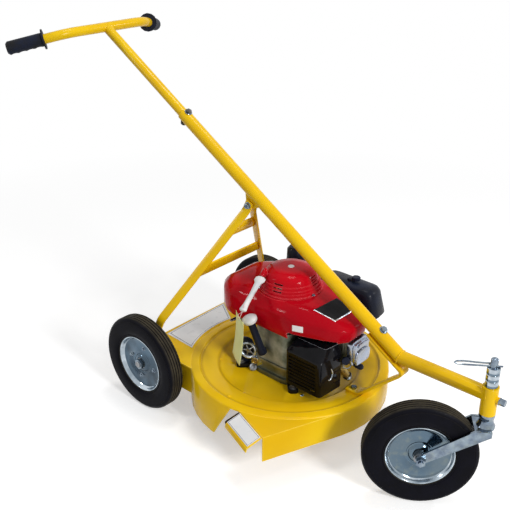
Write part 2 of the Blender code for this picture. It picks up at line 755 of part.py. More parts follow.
def make_wheel(name, parent, place, turn, hub_from, hub_to, bore):
    """A tyre, its rim and its hub, on an axle along the guide's X."""
    wheel = guide(name, parent, place, turn)
    phase = Matrix.Rotation(math.pi / WHEEL_STEPS, 4, "Z")
    tread = 1 / math.cos(math.pi / WHEEL_STEPS)
    section = tyre_outline()
    section = [(r * tread if r > TYRE_RADIUS - 0.01 else r, along) for r, along in section]
    tyre = turned(section, WHEEL_STEPS, ALONG_X @ phase)
    piece_from(name + "_tyre", tyre, BLACK_RUBBER, wheel)
    rim = turned(rim_outline(), WHEEL_STEPS, ALONG_X @ phase)
    piece_from(name + "_rim", rim, ZINC, wheel)
    hub = pipe(HUB_RADIUS, bore, hub_from, hub_to, 20, ALONG_X)
    piece_from(name + "_hub", hub, STEEL, wheel)


def make_front_wheel(caster):
    """The castering wheel, its bolt and its nut."""
    axle = (0, CASTER_TRAIL, TYRE_RADIUS)
    reach = FORK_GAP / 2 - CLEAR
    bore = FRONT_BOLT_RADIUS + CLEAR
    make_wheel("front_wheel", caster, axle, (0, 0, math.pi), -reach, reach, bore)
    outside = FORK_GAP / 2 + FORK_PLATE + CLEAR
    nut_height = 0.010
    shape = bolt_shape(2 * outside + nut_height + 0.004, 0.019, 0.0075, FRONT_BOLT_RADIUS)
    bmesh.ops.transform(shape, matrix=ALONG_X, verts=shape.verts)
    bmesh.ops.translate(shape, vec=(outside, 0, 0), verts=shape.verts)
    piece_from("front_axle_bolt", shape, ZINC, caster, axle)
    nut = nut_shape(0.019, nut_height, bore)
    bmesh.ops.transform(nut, matrix=ALONG_X, verts=nut.verts)
    bmesh.ops.translate(nut, vec=(-outside - nut_height, 0, 0), verts=nut.verts)
    piece_from("front_axle_nut", nut, ZINC, caster, axle)


def make_rear_wheels(root):
    """Both rear wheels, the axle through them, its brackets and its end nuts."""
    hub_inner = WHEEL_CENTRE_X - PLATE_HALF_WIDTH - 2 * CLEAR
    hub_outer = 0.0113
    bore = AXLE_RADIUS + CLEAR
    for name, side in (("rear_wheel_right", -1), ("rear_wheel_left", 1)):
        place = (side * WHEEL_CENTRE_X, REAR_AXLE_Y, TYRE_RADIUS)
        turn = (0, 0, math.pi if side < 0 else 0)
        make_wheel(name, root, place, turn, -hub_inner, hub_outer, bore)
    nut_height = 0.010
    nut_from = WHEEL_CENTRE_X + hub_outer + CLEAR
    half = nut_from + nut_height + 0.003
    outline = [(0, -half), (AXLE_RADIUS - 0.001, -half), (AXLE_RADIUS, -half + 0.001)]
    outline += [(radius, -along) for radius, along in outline[::-1]]
    axle_place = (0, REAR_AXLE_Y, TYRE_RADIUS)
    piece_from("rear_axle", turned(outline, 20, ALONG_X), STEEL, root, axle_place)
    for name, low in (("axle_nut_right", -nut_from - nut_height), ("axle_nut_left", nut_from)):
        nut = nut_shape(0.024, nut_height, bore)
        bmesh.ops.transform(nut, matrix=ALONG_X, verts=nut.verts)
        bmesh.ops.translate(nut, vec=(low, 0, 0), verts=nut.verts)
        piece_from(name, nut, ZINC, root, axle_place)


def deck_top_line(drop):
    """The dished top of the deck as (radius, height) points, lowered by a sheet's thickness."""
    top = DECK_TOP - drop
    floor = DECK_FLOOR - drop
    edge = DECK_RADIUS - drop
    return [
        (edge, top - 0.0045),
        (edge - 0.0015, top - 0.0015),
        (edge - 0.0045, top),
        (RIDGE_INNER + drop, top),
        (RIDGE_INNER - 0.0050 + drop, BAND_TOP - drop),
        (STEP_RADIUS + 0.0090, BAND_TOP - drop),
        (STEP_RADIUS, floor + 0.0045),
        (STEP_RADIUS - 0.0060, floor),
        (0, floor),
    ]


def deck_tools(root):
    """The hidden shapes that open and trim the deck, by name."""
    skirt_low = DECK_TOP - SKIRT_DEPTH
    chute_low = DECK_TOP - CHUTE_DEPTH
    chute_roof = DECK_TOP - 0.003
    roof_under = chute_roof - SHEET
    far = 2 * DECK_RADIUS
    tools = {}
    outline = [(0, -0.1), (DECK_RADIUS - SHEET, -0.1)] + deck_top_line(SHEET)
    tools["inside"] = turned(outline, DECK_STEPS)
    core = rod(DECK_RADIUS - SHEET / 2, -0.1, DECK_TOP + 0.1, DECK_STEPS)
    tools["core"] = core
    slant = (MOUTH_BOTTOM_Y - MOUTH_TOP_Y) / SKIRT_DEPTH
    below = skirt_low - 0.05
    outline = [
        (-far, below),
        (MOUTH_BOTTOM_Y + slant * 0.05, below),
        (MOUTH_TOP_Y + slant * (DECK_TOP - roof_under), roof_under),
        (-far, roof_under),
    ]
    tools["mouth"] = extruded(outline, -far, CHUTE_START.x - 0.004, YZ_PLANE)
    tools["dish"] = rod(DECK_RADIUS - 2 * SHEET, -0.1, DECK_TOP + 0.1, DECK_STEPS)
    trim_slant = (MOUTH_BOTTOM_Y - TRIM_Y) / (SKIRT_DEPTH - CHUTE_DEPTH)
    trim_end = TRIM_Y + trim_slant * (chute_low - below)
    outline = [(-far, chute_low), (-far, below), (trim_end, below), (TRIM_Y, chute_low)]
    tools["front_trim"] = extruded(outline, -far, far, YZ_PLANE)
    outline = [
        CHUTE_START.xy,
        CHUTE_CORNER.xy,
        CHUTE_BACK.xy,
        (CHUTE_BACK.x + 0.0035, CHUTE_BACK.y + 0.030),
        (CHUTE_BACK.x + 0.0985, CHUTE_BACK.y + 0.010),
        (CHUTE_START.x + 0.028, CHUTE_START.y + 0.038),
    ]
    tools["chute_outside"] = extruded(outline, chute_low, chute_roof)
    along = (CHUTE_CORNER - CHUTE_START).normalized()
    inward = Vector((along.y, -along.x, 0)) * SHEET
    edge = (CHUTE_BACK - CHUTE_CORNER).normalized()
    outward = Vector((-edge.y, edge.x, 0)) * 0.08
    outline = [
        (CHUTE_START + inward - along * 0.05).xy,
        (CHUTE_CORNER + inward + along * 0.08).xy,
        (CHUTE_BACK + outward).xy,
        (CHUTE_BACK.x + 0.004, CHUTE_BACK.y + 0.05),
        (CHUTE_BACK.x + 0.1285, CHUTE_BACK.y + 0.040),
        (CHUTE_START.x + 0.038, CHUTE_START.y + 0.058),
    ]
    tools["chute_inside"] = extruded(outline, -0.1, roof_under)
    side = PLATE_HALF_WIDTH
    tools["plate_outside"] = block((-side, 0, DECK_TOP - 0.076), (side, PLATE_REAR_Y, DECK_TOP - 0.0002))
    inner = side - SHEET
    tools["plate_inside"] = block((-inner, -0.1, -0.1), (inner, PLATE_REAR_Y - SHEET, DECK_TOP - SHEET))
    low = (-inner, PLATE_REAR_Y - 0.04, -0.1)
    tools["rear_trim"] = block(low, (inner, PLATE_REAR_Y + 0.1, DECK_TOP - 0.022))
    tools["axle_way"] = rod(AXLE_RADIUS + CLEAR, -0.3, 0.3, 20, ALONG_X)
    tools["crank_hole"] = rod(0.030, -0.1, 0.2, 24)
    tools["foot_hole"] = rod(BOLT_RADIUS + CLEAR, -0.1, 0.2, 16)
    places = {
        "axle_way": (0, REAR_AXLE_Y, TYRE_RADIUS),
        "foot_hole": (0, BRACKET_BOLT_Y, 0),
    }
    made = {}
    for name, shape in tools.items():
        made[name] = tool_from(name, shape, root, places.get(name, (0, 0, 0)))
    return made


def make_deck(root):
    """The pressed shell: dished disc, skirt, discharge chute and rear plate."""
    tools = deck_tools(root)
    outline = [(0, DECK_TOP - SKIRT_DEPTH), (DECK_RADIUS, DECK_TOP - SKIRT_DEPTH)] + deck_top_line(0)
    shell = piece_from("deck_shell", turned(outline, DECK_STEPS), YELLOW_PAINT, root)
    cut(tools["mouth"], tools["dish"])
    for name in ("inside", "mouth", "front_trim"):
        cut(shell, tools[name])
    for name in ("plate_inside", "rear_trim", "core"):
        cut(tools["plate_outside"], tools[name])
    for name in ("chute_inside", "core"):
        cut(tools["chute_outside"], tools[name])
    weld(shell, tools["plate_outside"])
    weld(shell, tools["chute_outside"])
    for name, side in (("bracket_right_shape", -1), ("bracket_left_shape", 1)):
        weld(shell, axle_bracket(name, side, root))
    for name in ("axle_way", "crank_hole", "foot_hole"):
        cut(shell, tools[name])
    for index, (x, y) in enumerate(engine_feet()):
        hole = rod(BOLT_RADIUS + CLEAR, -0.1, 0.2, 12)
        cut(shell, tool_from("foot_bolt_hole_%d" % index, hole, root, (x, y, 0)))


def axle_bracket(name, side, root):
    """A plate under the deck's rear corner that carries the axle."""
    outer_x = PLATE_HALF_WIDTH - SHEET / 2
    inner, outer = sorted((side * (outer_x - 0.012), side * outer_x))
    top = DECK_TOP - SHEET / 2
    low = TYRE_RADIUS - AXLE_RADIUS - 0.012
    outline = [(-0.024, top), (-0.014, low), (0.014, low), (0.024, top)]
    outline = [(REAR_AXLE_Y + y, z) for y, z in outline]
    return tool_from(name, extruded(outline, inner, outer, YZ_PLANE), root)


def make_deflector(root):
    """The flap outside the chute's mouth, bent down at its outer edge."""
    edge = CHUTE_BACK - CHUTE_CORNER
    length = edge.length - 0.004
    path = [(0, 0), (FLAP_REACH, -FLAP_REACH * math.tan(FLAP_SLOPE))]
    path.append((path[1][0] + 0.002, path[1][1] - 0.009))
    shape = flat_bar(path, 0.0025, length, 0.003)
    turn = math.atan2(edge.y, edge.x) + math.pi / 2
    stand = Matrix.Rotation(math.radians(90), 4, "X")
    bmesh.ops.transform(shape, matrix=stand, verts=shape.verts)
    middle = (CHUTE_BACK + CHUTE_CORNER) / 2
    out = Vector((math.cos(turn), math.sin(turn), 0))
    place = middle + out * (CLEAR + 0.0006)
    place.z = DECK_TOP - 0.003 - 0.0016
    piece_from("chute_deflector", shape, YELLOW_PAINT, root, place, (0, 0, turn))


def engine_feet():
    """The four engine bolt places on the deck."""
    return [(-0.088, -0.086), (-0.088, 0.086), (0.088, -0.086), (0.088, 0.086)]


def case_plan(grow):
    """The plan of the engine's alloy body, made this much larger all round."""
    low_x = -0.075 - grow
    high_x = 0.072 + grow
    low_y = -0.058 - grow
    high_y = 0.108 + grow
    corners = [(low_x, low_y), (high_x, low_y), (high_x, high_y), (-0.004, high_y), (low_x, 0.038)]
    return rounded(corners, 0.022)


def make_crankcase(engine):
    """The alloy body: a flange with four feet, the sump, and the finned cylinder that points forward."""
    flange_top = 0.012
    base = extruded(case_plan(0.008), CLEAR, flange_top)
    case = piece_from("crankcase", base, CAST_ALLOY, engine)
    sump = extruded(case_plan(0), flange_top - 0.002, CASE_HEIGHT)
    weld(case, tool_from("sump_shape", sump, engine))
    band = extruded(case_plan(0.005), 0.034, 0.042)
    weld(case, tool_from("band_shape", band, engine))
    half = 0.013
    for index, (x, y) in enumerate(engine_feet()):
        reach = math.hypot(x, y) + half
        outline = rounded([(0.03, -half), (reach, -half), (reach, half), (0.03, half)], half * 0.9, 3)
        arm = extruded(outline, CLEAR, flange_top - 0.001, Matrix.Rotation(math.atan2(y, x), 4, "Z"))
        weld(case, tool_from("foot_shape_%d" % index, arm, engine))
        hole = rod(BOLT_RADIUS + CLEAR, -0.1, 0.1, 12)
        cut(case, tool_from("case_bolt_hole_%d" % index, hole, engine, (x, y, 0)))
    outline = rounded([(-0.080, 0.060), (-0.020, 0.040), (-0.020, 0.100), (-0.080, 0.110)], 0.014)
    shelf = extruded(outline, CASE_HEIGHT - 0.012, CASE_HEIGHT - 0.0002)
    weld(case, tool_from("lever_shelf_shape", shelf, engine))
    barrel = block((CYLINDER_LOW_X, HEAD_FRONT_Y, 0.082), (CYLINDER_HIGH_X, -0.050, 0.146))
    weld(case, tool_from("barrel_shape", barrel, engine))
    for index in range(7):
        y = -0.086 - 0.0145 * index
        fin = block((CYLINDER_LOW_X - 0.004, y - 0.004, 0.074), (CYLINDER_HIGH_X + 0.008, y, 0.152))
        weld(case, tool_from("fin_shape_%d" % index, fin, engine))
    for index, heading in enumerate((45, 135, 215, 320)):
        angle = math.radians(heading)
        reach = (COVER_HOLE + DOME_RADIUS) / 2 + 0.002
        place = (reach * math.cos(angle), reach * math.sin(angle), 0)
        post = rod(0.006, CASE_HEIGHT - 0.002, COVER_TOP - COVER_WALL - CLEAR, 12)
        weld(case, tool_from("cover_post_shape_%d" % index, post, engine, place))
    bore = rod(CRANK_RADIUS + CLEAR, -0.1, 0.3, 24)
    cut(case, tool_from("crank_bore", bore, engine))
    hole = rod(0.0030 + CLEAR, CASE_HEIGHT - 0.010, 0.2, 12)
    cut(case, tool_from("throttle_hole", hole, engine, THROTTLE_PLACE))


def make_crank(engine):
    """The crankshaft with its flywheel and fan."""
    low = BLADE_TOP + CLEAR
    outline = [
        (0, low),
        (0.0200, low),
        (0.0200, low + 0.008),
        (CRANK_RADIUS, low + 0.010),
        (CRANK_RADIUS, FLYWHEEL_LOW - CLEAR),
        (0.0090, FLYWHEEL_LOW - CLEAR),
        (0.0090, FLYWHEEL_LOW + 0.022),
        (0, FLYWHEEL_LOW + 0.022),
    ]
    shaft = piece_from("crankshaft", turned(outline, 16), STEEL, engine)
    cut(shaft, tool_from("blade_bolt_hole", rod(BOLT_RADIUS + CLEAR, -0.2, low + 0.025, 12), engine))
    bore = 0.0090 + CLEAR
    outline = [
        (bore, FLYWHEEL_LOW),
        (0.060, FLYWHEEL_LOW),
        (FLYWHEEL_RADIUS, FLYWHEEL_LOW + 0.004),
        (FLYWHEEL_RADIUS, FLYWHEEL_LOW + 0.012),
        (0.030, FLYWHEEL_LOW + 0.012),
        (0.026, FLYWHEEL_LOW + 0.020),
        (bore, FLYWHEEL_LOW + 0.020),
    ]
    wheel = piece_from("flywheel", turned(outline, 20), CAST_ALLOY, engine)
    blades = bmesh.new()
    for index in range(14):
        low = (0.040, -0.0012, FLYWHEEL_LOW + 0.011)
        high = (FLYWHEEL_RADIUS - 0.002, 0.0012, FLYWHEEL_LOW + 0.024)
        blade = block(low, high)
        spin = Matrix.Rotation(math.tau * index / 14, 4, "Z") @ Matrix.Rotation(0.25, 4, "Z")
        bmesh.ops.transform(blade, matrix=spin, verts=blade.verts)
        add_shape(blades, blade)
    weld(wheel, tool_from("fan_shape", blades, engine))


def make_blade(engine):
    """The cutter bar under the deck, its centre bolt and two swing-back tips."""
    half = BLADE_PIVOT + 0.022
    outline = rounded([(-half, -0.024), (half, -0.024), (half, 0.024), (-half, 0.024)], 0.022, 4)
    bar = piece_from("blade_bar", extruded(outline, BLADE_TOP - BLADE_PLATE, BLADE_TOP), STEEL, engine)
    hole = rod(BOLT_RADIUS + CLEAR, -0.2, 0.0, 16)
    cut(bar, tool_from("bar_hole", hole, engine))
    tip_top = BLADE_TOP - BLADE_PLATE - CLEAR
    for name, side in (("blade_tip_a", 1), ("blade_tip_b", -1)):
        outline = [
            (0, BLADE_TOP - 0.003),
            (0.0055, BLADE_TOP - 0.003),
            (0.0055, tip_top - TIP_PLATE - CLEAR),
            (0.0105, tip_top - TIP_PLATE - CLEAR),
            (0.0090, tip_top - TIP_PLATE - 0.0045),
            (0, tip_top - TIP_PLATE - 0.0045),
        ]
        weld(bar, tool_from(name + "_pin", turned(outline, 16), engine, (side * BLADE_PIVOT, 0, 0)))
        reach = BLADE_RADIUS - BLADE_PIVOT
        corners = [(-0.018, -0.018), (reach - 0.012, -0.018), (reach, 0.004), (reach, 0.022), (-0.018, 0.022)]
        shape = extruded(rounded(corners, 0.008, 2), -TIP_PLATE, 0)
        turn = (0, 0, 0 if side > 0 else math.pi)
        place = (side * BLADE_PIVOT, 0, tip_top)
        tip = piece_from(name, shape, STEEL, engine, place, turn)
        hole = rod(0.0055 + CLEAR, -0.1, 0.1, 16)
        cut(tip, tool_from(name + "_hole", hole, engine, (side * BLADE_PIVOT, 0, 0)))
    shape = bolt_shape(0.026, 0.013, 0.0055)
    turn = (math.pi, 0, 0)
    piece_from("blade_bolt", shape, STEEL, engine, (0, 0, BLADE_TOP - BLADE_PLATE - CLEAR), turn)


def polar(outline, angle):
    """How far the outline is from the crank in this direction."""
    heading = Vector((math.cos(angle), math.sin(angle)))
    best = 0.0
    for index in range(len(outline)):
        a = Vector(outline[index - 1])
        b = Vector(outline[index])
        edge = b - a
        cross = heading.x * edge.y - heading.y * edge.x
        if abs(cross) < 1e-9:
            continue
        reach = (a.x * edge.y - a.y * edge.x) / cross
        share = (a.x * heading.y - a.y * heading.x) / cross
        if reach > 0 and -1e-6 <= share <= 1 + 1e-6:
            best = max(best, reach)
    return best


def cover_ring(inset, height, droop, least=0.0, steps=44):
    """One ring of the cover, drawn in from its plan and lowered towards the nose."""
    plan = [
        (-0.096, 0.125),
        (-0.060, 0.178),
        (0.058, 0.178),
        (0.098, 0.140),
        (0.098, -0.060),
        (0.052, -0.204),
        (-0.030, -0.204),
        (-0.048, -0.192),
        (-0.096, -0.086),
    ]
    plan = rounded(plan, 0.022, 3)
    ring = []
    for step in range(steps):
        angle = math.tau * step / steps
        reach = max(polar(plan, angle) - inset, least)
        x = reach * math.cos(angle)
        y = reach * math.sin(angle)
        fall = max(0.0, -y - 0.092) / 0.110
        ring.append((x, y, height - droop * fall))
    return ring


def round_ring(radius, height, steps):
    """One ring of the cover's round seat."""
    turns = [math.tau * step / steps for step in range(steps)]
    return [(radius * math.cos(angle), radius * math.sin(angle), height) for angle in turns]


def make_cover(engine):
    """The red pressed cover over the cylinder and the flywheel."""
    seat = DOME_RADIUS + 0.003
    rings = [
        cover_ring(0.004, COVER_LOW, -0.014),
        cover_ring(0.000, COVER_LOW + 0.010, -0.012),
        cover_ring(0.0005, COVER_CREASE - 0.006, 0.012),
        cover_ring(0.0025, COVER_CREASE, 0.015),
        cover_ring(0.0080, COVER_CREASE + 0.0080, 0.019, seat + 0.005),
        cover_ring(0.0190, COVER_TOP - 0.0045, 0.029, seat + 0.003),
        cover_ring(0.0310, COVER_TOP, 0.033, seat + 0.001),
    ]
    steps = len(rings[0])
    rings.append(round_ring(seat - 0.001, COVER_TOP, steps))
    rings.append(round_ring(COVER_HOLE, COVER_TOP, steps))
    shape = lofted(rings)
    caps = [face for face in shape.faces if len(face.verts) > 4]
    bmesh.ops.delete(shape, geom=caps, context="FACES_ONLY")
    cover = piece_from("engine_cover", shape, RED_PAINT, engine)
    wall = cover.modifiers.new("wall", "SOLIDIFY")
    wall.thickness = COVER_WALL
    wall.offset = -1
    wall.use_even_offset = True
    outline = [
        (-0.182, 0.1000),
        (-0.182, 0.1600),
        (-0.150, 0.1600),
        (-0.076, 0.1640),
        (-0.068, 0.1590),
        (-0.066, 0.1000),
    ]
    arch = extruded(outline, -0.12, CYLINDER_LOW_X - 0.010, YZ_PLANE)
    cut(cover, tool_from("guard_arch", arch, engine))


def make_starter(engine):
    """The domed recoil housing, its pulley, and the grip on its rope."""
    base = COVER_TOP + CLEAR
    wall = 0.003
    outer = [
        (DOME_RADIUS, 0),
        (DOME_RADIUS, 0.003),
        (0.0768, 0.0035),
        (0.0760, 0.0100),
        (0.0742, 0.0112),
        (0.0732, 0.0175),
        (0.0712, 0.0187),
        (0.0698, 0.0255),
        (0.0676, 0.0268),
        (0.0650, 0.0345),
        (0.0615, 0.0410),
        (0.0565, 0.0462),
        (0.0520, 0.0475),
        (0.0490, 0.0500),
        (0.0300, 0.0515),
        (0, 0.0520),
    ]
    inner = [
        (0, 0.012),
        (0.007, 0.012),
        (0.007, 0.0485),
        (0.0300, 0.0485),
        (0.0465, 0.0465),
        (0.0535, 0.0440),
        (0.0580, 0.0395),
        (0.0640, 0.0260),
        (0.0705, 0.0090),
        (DOME_RADIUS - 0.0035 - wall, 0),
    ]
    outline = [(radius, base + height) for radius, height in outer + inner]
    dome = piece_from("starter_housing", turned(outline, 28), RED_PAINT, engine)
    horn = rod(0.0065, 0.002, 0.026, 12)
    weld(dome, tool_from("rope_guide_shape", horn, engine, GRIP_TOP, GRIP_TURN))
    seat = GRIP_TOP - GRIP_HEADING * 0.014
    boss = rod(0.0085, 0.060, seat.xy.length, 12, ALONG_X)
    turn = (0, 0, math.atan2(seat.y, seat.x))
    weld(dome, tool_from("guide_boss_shape", boss, engine, (0, 0, seat.z - 0.002), turn))
    way = rod(ROPE_RADIUS + CLEAR, -0.01, 0.0225, 10)
    cut(dome, tool_from("rope_way", way, engine, GRIP_TOP, GRIP_TURN))
    groups = (("side_slots", -168, 0.0125, 3, 0.0080), ("front_slots", -82, 0.0220, 4, 0.0055))
    for name, heading, low, count, pitch in groups:
        slots = bmesh.new()
        for index in range(count):
            level = base + low + pitch * index
            add_shape(slots, block((0.045, -0.012, level), (0.09, 0.012, level + pitch * 0.55)))
        turn = (0, 0, math.radians(heading))
        cut(dome, tool_from(name, slots, engine, (0, 0, 0), turn))
    low = base + 0.014
    outline = [
        (0.0070 + CLEAR, low),
        (0.0440, low),
        (0.0440, low + 0.003),
        (0.0360, low + 0.006),
        (0.0360, low + 0.009),
        (0.0440, low + 0.012),
        (0.0440, low + 0.015),
        (0.0070 + CLEAR, low + 0.015),
    ]
    piece_from("starter_pulley", turned(outline, 16), BLACK_PLASTIC, engine)
    rope = rod(ROPE_RADIUS, -0.100, 0.0222, 8)
    piece_from("starter_rope", rope, GREY_PLASTIC, engine, GRIP_TOP, GRIP_TURN)
    make_grip(engine)


def make_grip(engine):
    """The pull grip: a broad head by the rope guide and a long tapered body, hollow for the rope."""
    stations = [
        (0.0000, 0.0095, 0.0048),
        (-0.0030, 0.0138, 0.0060),
        (-0.0110, 0.0140, 0.0062),
        (-0.0190, 0.0085, 0.0058),
        (-0.0500, 0.0062, 0.0052),
        (-0.0850, 0.0068, 0.0055),
        (-0.1010, 0.0095, 0.0062),
        (-0.1040, 0.0070, 0.0045),
    ]
    turns = [math.tau * step / 12 for step in range(12)]
    rings = []
    for z, wide, deep in stations:
        rings.append([(wide * math.cos(angle), deep * math.sin(angle), z) for angle in turns])
    grip = piece_from("starter_grip", lofted(rings), GREY_PLASTIC, engine, GRIP_TOP, GRIP_TURN)
    bore = rod(ROPE_RADIUS + CLEAR, -0.1005, 0.05, 8)
    cut(grip, tool_from("grip_bore", bore, engine, GRIP_TOP, GRIP_TURN))


def plan_ring(corners, radius, height):
    """A level ring with rounded corners."""
    return [(x, y, height) for x, y in rounded(corners, radius, 3)]


def make_breathing(engine):
    """Air cleaner, carburettor, fuel tank with its cap, muffler with its guard."""
    left = 0.098 + CLEAR
    rings = []
    for height, front, far, inset in (
        (AIR_LOW, -0.180, 0.170, 0.003),
        (AIR_LOW + 0.005, -0.182, 0.172, 0.0),
        (0.206, -0.168, 0.168, 0.0),
        (0.214, -0.165, 0.166, 0.002),
        (0.2185, -0.160, 0.162, 0.007),
    ):
        near = left + 0.004 + inset
        rear = -0.006 - inset
        far -= inset
        front += inset
        corners = [(near, front), (far, front + 0.010), (far, rear), (near, rear)]
        rings.append(plan_ring(corners, 0.022, height))
    air = piece_from("air_cleaner", lofted(rings), BLACK_PLASTIC, engine)
    knob = rod(0.010, 0.210, 0.225, 12)
    weld(air, tool_from("knob_shape", knob, engine, (0.136, -0.085, 0)))
    tank_top = 0.216
    corners = [(left, -0.004), (0.172, -0.004), (0.172, 0.126), (left, 0.126)]
    tank = extruded(rounded(corners, 0.024), 0.118, tank_top)
    bmesh.ops.bevel(tank, geom=top_edges(tank, tank_top), offset=0.012, segments=2, affect="EDGES")
    tank = piece_from("fuel_tank", tank, BLACK_PLASTIC, engine)
    weld(tank, tool_from("neck_shape", rod(0.016, 0.200, tank_top + 0.012, 20), engine, TANK_NECK))
    outline = [
        (0.0163, tank_top + 0.0005),
        (0.0235, tank_top + 0.0005),
        (0.0245, tank_top + 0.006),
        (0.0230, tank_top + 0.038),
        (0.0170, tank_top + 0.045),
        (0, tank_top + 0.047),
        (0, tank_top + 0.0125),
        (0.0163, tank_top + 0.0125),
    ]
    piece_from("fuel_cap", turned(outline, 20), BLACK_PLASTIC, engine, TANK_NECK)
    low_x = CYLINDER_HIGH_X + 0.008 + CLEAR
    body = block((low_x, -0.146, 0.104), (left, -0.104, 0.140))
    carb = piece_from("carburettor", body, CAST_ALLOY, engine)
    bowl = rod(0.015, 0.082, 0.110, 16)
    weld(carb, tool_from("bowl_shape", bowl, engine, (low_x + 0.018, -0.125, 0)))
    intake = block((left - 0.018, -0.140, 0.118), (left + 0.020, -0.110, AIR_LOW - CLEAR))
    weld(carb, tool_from("intake_shape", intake, engine))
    make_muffler(engine)


def top_edges(shape, height):
    """The edges that lie at this height."""
    return [edge for edge in shape.edges if all(abs(v.co.z - height) < 1e-6 for v in edge.verts)]


def make_muffler(engine):
    """The exhaust can beside the cylinder, and the louvred guard round it."""
    inner_x = CYLINDER_LOW_X - 0.004 - CLEAR
    rear_y = -0.0645
    corners = [(-0.078, 0.042), (inner_x, 0.042), (inner_x, 0.098), (-0.078, 0.098)]
    can = extruded(rounded(corners, 0.018), -0.158, rear_y - 0.003, XZ_PLANE)
    piece_from("muffler", can, STEEL, engine)
    outer_x = -0.094
    front_y = -0.170
    low = 0.020
    crease = 0.115
    top = 0.137
    wall = 0.002
    rings = []
    for height, inset in ((low, 0.0), (crease - 0.003, 0.0), (crease, 0.003), (top, 0.030)):
        corners = [
            (outer_x + inset, front_y + inset * 0.3),
            (inner_x, front_y - 0.006 + inset * 0.3),
            (inner_x, rear_y - inset * 0.3),
            (outer_x + inset, rear_y - inset * 0.3),
        ]
        rings.append(plan_ring(corners, 0.008, height))
    guard = piece_from("muffler_guard", lofted(rings), BLACK_PAINT, engine)
    hollow_rings = []
    for height, inset in ((low - 0.01, 0.0), (crease - 0.006, 0.0), (top - 0.006, 0.030)):
        near = outer_x + wall + inset
        far = inner_x + 0.01
        front = front_y + wall + inset * 0.3
        rear = rear_y - wall - inset * 0.3
        corners = [(near, front), (far, front - 0.006), (far, rear), (near, rear)]
        hollow_rings.append(plan_ring(corners, 0.007, height))
    cut(guard, tool_from("guard_hollow", lofted(hollow_rings), engine))
    slots = bmesh.new()
    for index in range(8):
        z = low + 0.010 + 0.0095 * index
        slot = block((outer_x - 0.01, front_y + 0.014, z), (outer_x + 0.01, rear_y - 0.010, z + 0.0045))
        add_shape(slots, slot)
    cut(guard, tool_from("guard_slots", slots, engine))


def make_trim(engine):
    """Valve cover, spark plug, oil filler and throttle lever."""
    corners = [(-0.018, 0.084), (0.050, 0.084), (0.050, 0.149), (-0.018, 0.149)]
    back = HEAD_FRONT_Y - CLEAR
    front = back - 0.020
    lid = extruded(rounded(corners, 0.016), front, back, XZ_PLANE)
    edges = [edge for edge in lid.edges if all(abs(v.co.y - front) < 1e-6 for v in edge.verts)]
    bmesh.ops.bevel(lid, geom=edges, offset=0.006, segments=2, affect="EDGES")
    piece_from("valve_cover", lid, CAST_ALLOY, engine)
    outline = [
        (0, 0),
        (0.0060, 0),
        (0.0060, 0.008),
        (0.0075, 0.010),
        (0.0075, 0.024),
        (0.0045, 0.028),
        (0, 0.028),
    ]
    plug = turned(outline, 12, Matrix.Rotation(math.radians(90), 4, "X"))
    piece_from("spark_plug", plug, BLACK_RUBBER, engine, (0.012, back, 0.0755))
    end = OIL_TUBE_LENGTH
    outline = [
        (0, 0),
        (0.0120, 0),
        (0.0120, 0.010),
        (0.0095, 0.014),
        (0.0095, end),
        (0.0060, end),
        (0.0060, 0.006),
        (0, 0.006),
    ]
    piece_from("oil_filler_tube", turned(outline, 16), BLACK_PLASTIC, engine, OIL_FOOT, OIL_TURN)
    low = end + CLEAR
    outline = [
        (0, low - 0.020),
        (0.0055, low - 0.020),
        (0.0055, low),
        (0.0170, low),
        (0.0185, low + 0.003),
        (0.0185, low + 0.008),
        (0.0120, low + 0.013),
        (0, low + 0.013),
    ]
    piece_from("oil_cap", turned(outline, 20), GREY_PLASTIC, engine, OIL_FOOT, OIL_TURN)
    plate_low = CASE_HEIGHT + CLEAR
    corners = [
        (0.008, -0.008),
        (-0.012, -0.008),
        (-0.056, 0.004),
        (-0.056, 0.011),
        (-0.012, 0.008),
        (0.008, 0.008),
    ]
    plate = extruded(rounded(corners, 0.003, 2), plate_low, plate_low + 0.003)
    lever = piece_from("throttle_lever", plate, BLACK_PAINT, engine, THROTTLE_PLACE)
    pin = rod(0.003, CASE_HEIGHT - 0.0095, plate_low + 0.001, 12)
    weld(lever, tool_from("lever_pin_shape", pin, engine, THROTTLE_PLACE))


def stand_at_origin(root):
    """Move the whole mower so that its box's bottom middle is the origin."""
    bpy.context.view_layer.update()
    view = bpy.context.evaluated_depsgraph_get()
    low = Vector((9, 9, 9))
    high = -low
    for piece in bpy.data.objects:
        if piece.type != "MESH" or piece.hide_render:
            continue
        shape = piece.evaluated_get(view)
        for corner in shape.to_mesh().vertices:
            place = shape.matrix_world @ corner.co
            low = Vector(map(min, low, place))
            high = Vector(map(max, high, place))
    shift = Vector((-(low.x + high.x) / 2, -(low.y + high.y) / 2, -low.z))
    root.location = shift
    print("moved by", [round(value, 5) for value in shift], "size", [round(value, 4) for value in high - low])


